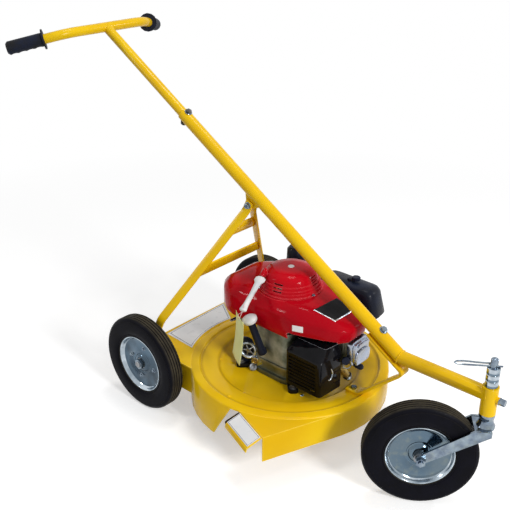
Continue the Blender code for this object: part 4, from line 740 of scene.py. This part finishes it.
def weld_bead(name, points):
    """A rippled bead of weld along points, painted over."""
    widths = [WELD_RADIUS * (1.12 if index % 2 else 0.86) for index in range(len(points))]
    return wire(name, points, widths, "yellow")


def along_row(row, share):
    """The point at this share of a row of points."""
    step = min(int(share * (len(row) - 1)), len(row) - 2)
    return row[step].lerp(row[step + 1], share * (len(row) - 1) - step)


def plate_marks(size, margin, line):
    """Where a plate's mesh is cut along one side, as shares of it: its line's edges and even steps."""
    edges = [margin / size, (margin + line) / size]
    steps = [index / 18 for index in range(19)]
    steps = [step for step in steps if edges[1] + 0.02 < step < 0.98 - edges[1]]
    return sorted({0.0, 1.0, *steps, *edges, *(1 - edge for edge in edges)})


def laid(name, node, near, far, toward, finishes, sides="near far start end", margin=0.0, line=0.0):
    """A thin plate that follows the surface of a piece, between a near and a far row of points.

    A line this wide, in the second finish, runs along the sides named, this far in from them.
    """
    tree = BVHTree.FromObject(frame["nodes"][node], bpy.context.evaluated_depsgraph_get())
    toward = Vector(toward).normalized()
    wide = (near[-1] - near[0]).length
    tall = (far[0] - near[0]).length
    columns = plate_marks(wide, margin, line)
    rows = plate_marks(tall, margin, line)
    grid = []
    for up in rows:
        points = []
        for across in columns:
            start = along_row(near, across).lerp(along_row(far, across), up) - toward * LABEL_SEARCH
            hit = tree.ray_cast(start, toward)[0] or start + toward * LABEL_SEARCH
            points.append(hit - toward * LABEL_LIFT)
        grid.append(points)
    shape = sheet_of(grid)
    ups = [(low + high) / 2 * tall for low, high in zip(rows, rows[1:])]
    acrosses = [(left + right) / 2 * wide for left, right in zip(columns, columns[1:])]
    middles = [(up, across) for up in ups for across in acrosses]
    for face, (up, across) in zip(shape.faces, middles):
        depths = dict(near=up, far=tall - up, start=across, end=wide - across)
        inside = min(depths[side] for side in sides.split())
        face.material_index = int(margin < inside < margin + line)
    made = piece_from(name, shape, finishes)
    back = made.modifiers.new("thickness", "SOLIDIFY")
    back.thickness = LABEL_LIFT * 0.8
    back.offset = -1
    return made


WHEELS = (
    ("front_wheel", "caster_tyre"),
    ("rear_wheel_right", "fixed_tyre"),
    ("rear_wheel_left", "fixed_tyre"),
)


def wheel_axis(name):
    """The middle of a wheel, and its axle pointing to the wheel's outer face."""
    middle = middle_of(name + "_tyre")
    if name == "front_wheel":
        axle = Vector(caster_axle())
        return middle, axle if axle.x < 0 else -axle
    return middle, Vector((math.copysign(1, middle.x - CRANK.x), 0, 0))


def tyre_outline():
    """A ribbed tyre's section as (radius, along the axle): beads, bulged walls, round shoulders."""
    half = TYRE_WIDTH / 2
    bead = ((CLEAR, 0.0060), (0.0010, 0.0030), (0.0040, 0.0016), (0.0052, 0.0028), (0.0075, 0.0012))
    bulge = ((0.0200, 0.0002), (0.0330, 0.0004), (0.0395, 0.0010), (0.0402, 0.0018), (0.0412, 0.0012))
    shoulder = ((0.0050, 0.0028), (0.0022, 0.0052), (0.0006, 0.0078))
    wall = [(RIM_RADIUS + out, half - aside) for out, aside in bead + bulge]
    wall += [(TYRE_RADIUS - drop, half - aside) for drop, aside in shoulder]
    tread = []
    for middle in (0.0112, 0.0038, -0.0038, -0.0112):
        for reach, aside in ((0.0, 0.0012), (0.0026, 0.0006), (0.0026, -0.0006), (0.0, -0.0012)):
            tread.append((TYRE_RADIUS - reach, middle + aside))
    other = [(radius, -along) for radius, along in reversed(wall)]
    return wall + tread + other


def rim_outline():
    """A pressed rim's section: rolled lip, well, dished web with a raised ring, and the hub's cone."""
    lip = TYRE_WIDTH / 2 - 0.0040
    band = RIM_RADIUS
    socket = HUB_RADIUS + CLEAR
    rolled = [(band - 0.0004, -lip), (band - 0.0004, lip - 0.0012), (band - 0.0012, lip)]
    rolled += [(band - 0.0030, lip + 0.0002), (band - 0.0044, lip - 0.0012), (band - 0.0060, lip - 0.0052)]
    dish = [(band - 0.0090, 0.0095), (band - 0.0135, 0.0068), (0.0560, 0.0062), (0.0345, 0.0068)]
    ring = [(0.0325, 0.0080), (0.0305, 0.0080), (0.0285, 0.0066)]
    cone = [(0.0255, 0.0072), (0.0225, 0.0108), (0.0200, 0.0124), (socket + 0.0010, 0.0128)]
    back = [(socket, 0.0120), (socket, -0.0095), (0.0195, -0.0100), (0.0235, 0.0026), (0.0600, 0.0030)]
    back += [(band - 0.0110, 0.0020), (band - 0.0044, -0.0040), (band - 0.0038, -lip)]
    return rolled + dish + ring + cone + back


def make_wheels():
    """Finer tyres and rims in the CAD wheels' places."""
    for name, rubber in WHEELS:
        middle, outward = wheel_axis(name)
        ribbed = turned(tyre_outline(), WHEEL_STEPS, middle, outward)
        tyre = piece_from(name + "_ribbed_tyre", ribbed, rubber, name)
        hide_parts(name + "_tyre")
        pressed = turned(rim_outline(), WHEEL_STEPS, middle, outward)
        # The lip's faces take the bright painted reflection, the web's the dark one
        for face in pressed.faces:
            away = face.calc_center_median() - middle
            from_axle = (away - outward * away.dot(outward)).length
            face.material_index = int(from_axle > RIM_RADIUS - RIM_LIP_DEPTH)
        # The rear rims' webs are darker as painted shade
        web = "rim_zinc" if name == "front_wheel" else "rear_rim_painted_shade"
        rim = piece_from(name + "_pressed_rim", pressed, web + " rim_lip", name)
        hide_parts(name + "_rim")
        if name != "front_wheel":
            make_rim_bolts(name, middle, outward)


def make_rim_bolts(name, middle, outward):
    """The four bolts through a rear rim's web."""
    side = outward.orthogonal().normalized()
    for index in range(4):
        spoke = Matrix.Rotation(math.radians(35 + 90 * index), 3, outward) @ side
        place = middle + spoke * RIM_BOLT_REACH + outward * 0.0060
        piece_name = "%s_rim_bolt_%d" % (name, index + 1)
        bolt_head(piece_name, place, outward, "zinc", 0.0075, 0.0062, 0.0042, name)


def boom_point(station, below):
    """A point along the boom from its bend, this far below its middle line."""
    return BEND + UP_BOOM * station + BELOW_BOOM * below


def make_crossbars():
    """The stays' two cross plates, wider both ways than the CAD's, as the photograph shows them."""
    names = ("stay_crossbar_upper", "stay_crossbar_lower")
    corner_sets = [[vert.co for vert in frame["nodes"][name].data.vertices] for name in names]
    middles = [sum(points, Vector()) / len(points) for points in corner_sets]
    down = (middles[1] - middles[0]).normalized()
    for name, middle, points in zip(names, middles, corner_sets):
        shape = bmesh.new()
        shape.from_mesh(frame["nodes"][name].data)
        reach = sum(abs(point.x - middle.x) for point in points) / len(points)
        for vert in shape.verts:
            side = vert.co.x - middle.x
            vert.co += down * (vert.co - middle).dot(down) * (CROSSBAR_WIDER - 1)
            vert.co.x = middle.x + math.copysign(reach + (abs(side) - reach) * CROSSBAR_WIDER, side)
        plate = piece_from(name + "_plate", shape, "yellow", width=0.0006)
        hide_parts(name)


def make_frame_hardware():
    """Nuts and washers of the frame's through bolts."""
    under = BOOM_RADIUS + 0.0006
    nut("handle_bolt_nut", boom_point(HANDLE_BOLT_UP, under), BELOW_BOOM, "dark_bolt")
    nut("bracket_bolt_nut", boom_point(BRACKET_BOLT_UP, under + BRACKET_PLATE), BELOW_BOOM)
    for name, station in (("handle_bolt", HANDLE_BOLT_UP), ("bracket_bolt", BRACKET_BOLT_UP)):
        place = boom_point(station, -BOOM_RADIUS + 0.0006)
        piece_from(name + "_washer", washer(place, -BELOW_BOOM, 0.0098, 0.0045), "zinc")
    middle = middle_of("stay_bolt")
    nut("stay_bolt_nut", Vector((CRANK.x - 0.0132, middle.y, middle.z)), (-1, 0, 0))
    middle = middle_of("deck_bolt")
    nut("deck_bolt_nut", Vector((middle.x, middle.y, DECK_TOP - 0.0075)), DOWN)
    collar = middle_of("set_bolt")
    collar.y = corners("set_bolt")[1].y - 0.0145
    piece_from("set_bolt_washer", washer(collar, (0, -1, 0), 0.0088, 0.0042), "zinc")


def make_labels():
    """Bare plates where the mower carries its labels, each laid on the surface under it."""
    lined = "label label_line"
    near = [at(x, y, DECK_TOP) for x, y in arc((0, 0), 0.2585, 120.5, 79.0, 16)]
    far = [at(-0.126, 0.3245, DECK_TOP), at(0.100, 0.3300, DECK_TOP)]
    laid("rear_plate_label", "deck_shell", near, far, DOWN, lined, margin=0.005, line=0.0022)
    near = [at(-0.038, -0.166, 0.330), at(0.034, -0.167, 0.330)]
    far = [at(-0.0515, -0.1103, 0.3475), at(0.0375, -0.1136, 0.3449)]
    laid("cover_panel", "engine_cover", near, far, DOWN, "panel silver", "near start", line=0.0038)
    near = [at(-0.0952, -0.0842, 0.2997), at(-0.0853, -0.1092, 0.2999)]
    far = [at(-0.0952, -0.0838, 0.3158), at(-0.0853, -0.1087, 0.3158)]
    laid("cover_label", "engine_cover", near, far, (0.93, 0.37, 0), lined)
    near = [at(-0.3165, -0.1435, 0.1255), at(-0.2825, -0.0495, 0.1255)]
    far = [at(-0.2855, -0.1550, 0.1392), at(-0.2515, -0.0610, 0.1392)]
    onto_flap = (0.37, -0.13, -0.92)
    laid("flap_label", "chute_deflector", near, far, onto_flap, lined, margin=0.0018, line=0.0012)


def make_engine_bolts():
    """Bolts on the engine's four feet, with their nuts under the deck's floor."""
    for index, (x, y) in enumerate(ENGINE_FEET):
        name = "engine_bolt_%d" % (index + 1)
        bolt_head(name, at(x, y, FOOT_TOP), UP, "dark_bolt", 0.012, 0.0105, 0.0075)
        nut(name + "_nut", at(x, y, DECK_FLOOR - SHEET - 0.0001), DOWN, across=0.012)


def make_dome_trim():
    """The starter dome's three flange bolts and its round cap."""
    for index in range(3):
        angle = math.radians(-97 + 120 * index)
        place = at(DOME_BOLT_REACH * math.cos(angle), DOME_BOLT_REACH * math.sin(angle), DOME_SEAT)
        bolt_head("dome_bolt_%d" % (index + 1), place, UP, "zinc", 0.0065, 0.0050, 0.0036)
    outline = [(0.0, -0.001), (0.0072, -0.001), (0.0080, 0.0004), (0.0068, 0.0014), (0.0030, 0.0020)]
    outline += [(0.0, 0.0016)]
    piece_from("dome_cap", turned(outline, 40, at(0, 0, DOME_TOP), UP), "pale_grey")


def make_guard_tab():
    """The pale hook of bent strip on the muffler guard's front, which leans a little."""
    hook = [(-0.0560, 0.2140), (-0.0520, 0.2080), (-0.0495, 0.1990), (-0.0515, 0.1900), (-0.0575, 0.1840)]
    hook += [(-0.0630, 0.1845), (-0.0645, 0.1880)]
    widths = [0.0008, 0.0014, 0.0020, 0.0020, 0.0018, 0.0012, 0.0007]
    points = [at(x, -0.1728 - (x + 0.0585) * 0.08, z) for x, z in hook]
    wire("guard_tab", points, widths, "silver")


def make_choke_knob():
    """The black knob beside the valve cover."""
    outline = [(0.0, 0.0), (0.0042, 0.0), (0.0046, 0.0050), (0.0090, 0.0064), (0.0098, 0.0080)]
    outline += [(0.0098, 0.0125), (0.0086, 0.0142), (0.0, 0.0150)]
    knob = turned(outline, 40, at(-0.0178, -0.1880, 0.2300), (-0.86, -0.5, 0.1))
    piece_from("choke_knob", knob, "plastic")


def make_cleaner_knob():
    """The ribbed knob on top of the air cleaner's case."""
    top = at(0.1344, -0.1002, corners("air_cleaner")[1].z - 0.001)
    rings = []
    for height, grow in ((0.0, 0.85), (0.001, 1.0), (0.008, 1.0), (0.0095, 0.82)):
        ring = round_ring(grow, height, 24)
        for index, point in enumerate(ring):
            point.xy *= 0.0098 + 0.0012 * (index % 2)
        rings.append(ring)
    piece_from("air_cleaner_knob", lofted(stood(rings, top, UP)), "plastic")


def make_guard_shade_sheet():
    """A dark sheet behind the muffler guard's louvres, put in as painted shade inside the guard."""
    low, high = corners("muffler_guard")
    front, back = low.y + 0.016, high.y - 0.008
    foot, top = low.z + 0.003, low.z + 0.092
    outline = rounded([(front, foot), (back, foot), (back, top), (front, top)], 2)
    place = Vector((low.x + 0.0065, 0, 0))
    sheet = extruded(outline, place, ((0, 1, 0), UP, (1, 0, 0)), 0.001)
    # A dark sheet as painted shade behind the louvres
    piece_from("guard_shade_sheet", sheet, "plastic")


def make_valve_cover_trim():
    """The valve cover's raised panel and the rib above it."""
    corner = corners("valve_cover")[0] + Vector((0, 0.0006, 0))
    axes = ((1, 0, 0), UP, (0, -1, 0))
    panel = [(0.010, 0.003), (0.055, 0.003), (0.062, 0.012), (0.062, 0.041), (0.018, 0.041)]
    panel += [(0.006, 0.030), (0.006, 0.010)]
    boss = extruded(rounded(panel, 3), corner, axes, 0.0062)
    piece_from("cover_boss", boss, "bright_alloy", width=0.0030)
    ridge = [(0.016, 0.0480), (0.058, 0.0480), (0.058, 0.0580), (0.022, 0.0580), (0.016, 0.053)]
    rib = extruded(rounded(ridge, 3), corner, axes, 0.0046)
    piece_from("cover_rib", rib, "bright_alloy", width=0.0022)


def make_drain_elbow():
    """The brass elbow under the valve cover, with its collar and nut."""
    top = at(-0.006, -0.150, 0.214)
    end = at(0.008, -0.176, 0.166)
    route = [top, at(-0.004, -0.160, 0.196), at(0.000, -0.170, 0.180), end]
    wire("drain_elbow", route, [0.0095, 0.0105, 0.0098, 0.0080], "brass")
    flange = ((0.0128, 0.0), (0.0136, 0.0010), (0.0136, 0.0058), (0.0124, 0.0068))
    piece_from("elbow_collar", rings_of(flange, top, (0, -0.5, -0.86)), "bare_alloy")
    nut("elbow_nut", end, (0.4, -0.3, -0.86), "steel", across=0.017, bore=0.0038, height=0.008)


def make_governor_linkage():
    """The governor's rod across the elbow, and the coiled spring that pulls it."""
    foot = at(-0.012, -0.176, 0.198)
    route = [foot, at(0.004, -0.1775, 0.186), at(0.024, -0.176, 0.184), at(0.034, -0.168, 0.192)]
    wire("governor_rod", route, 0.0013, "zinc")
    head = at(-0.004, -0.168, 0.216)
    axis = (head - foot).normalized()
    side = axis.orthogonal().normalized()
    coils, steps = 8, 9
    last = coils * steps
    spring = []
    for index in range(last + 1):
        turn = Matrix.Rotation(math.tau * index / steps, 3, axis)
        reach = 0.0030 * min(1.0, index / steps, (last - index) / steps)
        spring.append(foot.lerp(head, index / last) + turn @ side * reach)
    wire("governor_spring", spring, 0.0006, "silver")


def make_brake_side():
    """The blade brake beside the oil tube: its cover on the foot arm, its drum and its bracket."""
    along = Vector((-0.31, 0.95, 0))
    inward = Vector((0.95, 0.31, 0))
    sides = (along, UP, inward)
    plate = [(-0.020, 0.0), (0.022, 0.0), (0.024, 0.050), (0.012, 0.068), (-0.016, 0.068), (-0.024, 0.044)]
    cover = extruded(rounded(plate, 2), at(-0.0830, 0.0800, 0.1385), sides, 0.014)
    piece_from("brake_cover", cover, "plastic", width=0.0020)
    make_brake_drum(at(-0.0820, 0.0680, 0.1770), Vector((-0.93, -0.34, 0.10)).normalized())
    flange = [(0.0, 0.0), (0.031, 0.0), (0.031, 0.019), (0.022, 0.024), (0.003, 0.024)]
    corner = at(-0.0850, 0.0560, 0.1405)
    bracket = extruded(rounded(flange, 2), corner, (-along, UP, inward), 0.010)
    piece_from("brake_bracket", bracket, "bright_alloy", width=0.0014)
    pivot = corner - along * 0.012 + UP * 0.015
    bolt_head("brake_pivot", pivot, -inward, "brass", 0.0100, 0.0090, 0.0050)
    foot = corner - along * 0.008 - inward * 0.004 - UP * 0.003
    bolt_head("brake_bolt", foot, (-0.80, -0.26, 0.54), "steel", 0.0110, 0.0098, 0.0060)


def make_brake_drum(hub, axis):
    """The brake's bright drum: a rolled ring, five spokes and the bolt in its middle."""
    outline = [(0.0150, -0.0060), (0.0212, -0.0060), (0.0228, -0.0020), (0.0222, 0.0012), (0.0196, 0.0020)]
    outline += [(0.0168, 0.0004), (0.0150, -0.0030)]
    piece_from("brake_drum", turned(outline, 72, hub, axis), "silver")
    spoke_foot = hub - axis * 0.002
    for index, spoke_end in enumerate(ring_points(hub - axis * 0.003, axis, 0.0158, 5, 0.4)):
        name = "brake_spoke_%d" % (index + 1)
        wire(name, [spoke_foot, spoke_end], [0.0024, 0.0016], "steel")
    bolt_head("brake_hub_bolt", hub - axis * 0.004, axis, "steel", 0.0085, 0.0078, 0.0060)


def make_hang_tag():
    """A bare card tag that hangs from the starter grip, a little curled, with its eyelet."""
    top = at(-0.1510, 0.0340, 0.3170)
    across = Vector((-0.526, -0.850, 0))
    outward = Vector((0.850, -0.526, 0))
    lean = Vector((-0.0066, 0.0073, 0))
    wide, tall, thick = 0.066, 0.118, 0.0005
    rows = []
    for down in [row / 12 for row in range(13)]:
        points = []
        for side in [column / 8 - 0.5 for column in range(9)]:
            curl = 0.003 * math.sin(math.pi * down) + 0.002 * (2 * side) ** 2
            points.append(top + across * side * wide + outward * curl + lean * down + DOWN * down * tall)
        rows.append(points)
    tag = piece_from("hang_tag", sheet_of(rows), "paper", "pull_grip")
    card = tag.modifiers.new("thickness", "SOLIDIFY")
    card.thickness = thick
    eye = top + DOWN * 0.008
    ring = washer(eye, (0.828, -0.560, 0), 0.0045, 0.0022, 0.0016)
    piece_from("tag_eyelet", ring, "silver", "pull_grip")
    make_tag_tie(eye, at(-0.1500, 0.0170, 0.3470))


def make_tag_tie(eye, hang):
    """The thin tie that loops from the tag's eye round the starter grip."""
    round_grip = [(0.008, 0.006, -0.006), (0.006, 0.002, 0.010), (-0.006, -0.004, 0.008)]
    round_grip.append((-0.008, -0.004, -0.006))
    loop = [eye, eye + Vector((0.004, -0.004, 0.014))]
    loop += [hang + Vector(aside) for aside in round_grip]
    loop += [eye + Vector((-0.004, 0.004, 0.012)), eye]
    wire("tag_tie", loop, 0.0008, "tie", "pull_grip")


def make_deck_screws():
    """Small round heads on the deck's top."""
    outline = ((0.0042, -0.0010), (0.0045, 0.0006), (0.0034, 0.0020), (0.0014, 0.0026))
    for index, (place, finish) in enumerate(DECK_SCREWS):
        head = rings_of(outline, at(*place), UP, 28)
        piece_from("deck_screw_%d" % (index + 1), head, finish)


def make_welds():
    """Beads where the arm meets the head and where the boom meets the arm."""
    head_y = corners("front_arm")[0].y + HEAD_RADIUS
    turns = [math.tau * index / 44 for index in range(45)]
    bead = []
    for angle in turns:
        x = BOOM_RADIUS * 1.03 * math.cos(angle)
        z = BOOM_RADIUS * 1.03 * math.sin(angle)
        reach = math.sqrt(max(0.0, (HEAD_RADIUS + 0.0007) ** 2 - x * x))
        bead.append(Vector((BEND.x + x, head_y + reach, BEND.z + z)))
    weld_bead("head_weld", bead)
    slope = math.tan(BOOM_RISE / 2)
    bead = []
    for angle in turns:
        x = BOOM_RADIUS * 1.02 * math.cos(angle)
        z = BOOM_RADIUS * 1.02 * math.sin(angle)
        bead.append(BEND + Vector((x, -z * slope, z)))
    weld_bead("boom_weld", bead)


def make_camera():
    """The photograph's camera."""
    lens = bpy.data.cameras.new("camera")
    lens.lens = CAMERA_LENS
    lens.sensor_width = 36
    lens.sensor_fit = "HORIZONTAL"
    lens.clip_end = 200
    made = placed("camera", lens)
    made.location = at(*CAMERA_PLACE)
    made.rotation_euler = (math.pi / 2 - CAMERA_TILT, 0, -CAMERA_HEADING)
    bpy.context.scene.camera = made


def make_lamp(name, place, aim, size, power):
    """A soft square lamp that points at the mower."""
    light = bpy.data.lights.new(name, "AREA")
    light.size = size
    light.energy = power
    made = placed(name, light)
    made.location = place
    made.rotation_euler = (Vector(aim) - Vector(place)).to_track_quat("-Z", "Y").to_euler()


def shown_rays(owner):
    """1 for rays that show the background: from the camera, or in gloss and glass."""
    rays = node_in(owner, "ShaderNodeLightPath").outputs
    seen = combined(owner, "MAXIMUM", rays["Is Camera Ray"], rays["Is Glossy Ray"])
    return combined(owner, "MAXIMUM", seen, rays["Is Transmission Ray"])


def make_floor():
    """A pale floor that keeps the shadow near the mower and fades to white far from it."""
    shape = bmesh.new()
    bmesh.ops.create_grid(shape, x_segments=1, y_segments=1, size=40)
    mesh = bpy.data.meshes.new("floor")
    shape.to_mesh(mesh)
    shape.free()
    floor = placed("floor", mesh)
    paint = bpy.data.materials.new("floor_paint")
    paint.use_nodes = True
    target = shader_of(paint).inputs
    target["Roughness"].default_value = 0.9
    target["Specular IOR Level"].default_value = 0.0
    target["Emission Color"].default_value = (1, 1, 1, 1)
    apart = node_in(paint, "ShaderNodeVectorMath")
    apart.operation = "LENGTH"
    join(paint, place_in(paint), apart.inputs[0])
    far = ranged(paint, apart.outputs["Value"], 0, 1, *FLOOR_FADE)
    join(paint, blended(paint, far, FLOOR_GREY, (0, 0, 0, 1)), target["Base Color"])
    level = ranged(paint, far, FLOOR_GLOW, 1.0, 0.0, 1.0)
    join(paint, combined(paint, "MULTIPLY", level, shown_rays(paint)), target["Emission Strength"])
    mesh.materials.append(paint)


def make_stage():
    """The floor, a white background and soft studio light."""
    make_floor()
    world = bpy.context.scene.world or bpy.data.worlds.new("world")
    bpy.context.scene.world = world
    world.use_nodes = True
    sky = world.node_tree.nodes["Background"].inputs
    sky["Color"].default_value = (1, 1, 1, 1)
    join(world, ranged(world, shown_rays(world), SKY_LIGHT, 1.0, 0.0, 1.0), sky["Strength"])
    for name, place, size, power in LAMPS:
        make_lamp(name, at(*place), at(0, 0, 0.25), size, power)


def build():
    """Finishes, camera and stage, then the pieces on the CAD frame."""
    make_materials()
    make_camera()
    make_stage()
    finish_nodes(make_smoother())
    make_wheels()
    make_crossbars()
    make_frame_hardware()
    make_welds()
    make_engine_bolts()
    make_dome_trim()
    make_guard_tab()
    make_choke_knob()
    make_cleaner_knob()
    make_guard_shade_sheet()
    make_valve_cover_trim()
    make_drain_elbow()
    make_governor_linkage()
    make_brake_side()
    make_deck_screws()
    make_labels()
    make_hang_tag()
    bpy.context.scene.view_settings.view_transform = "Standard"


build()
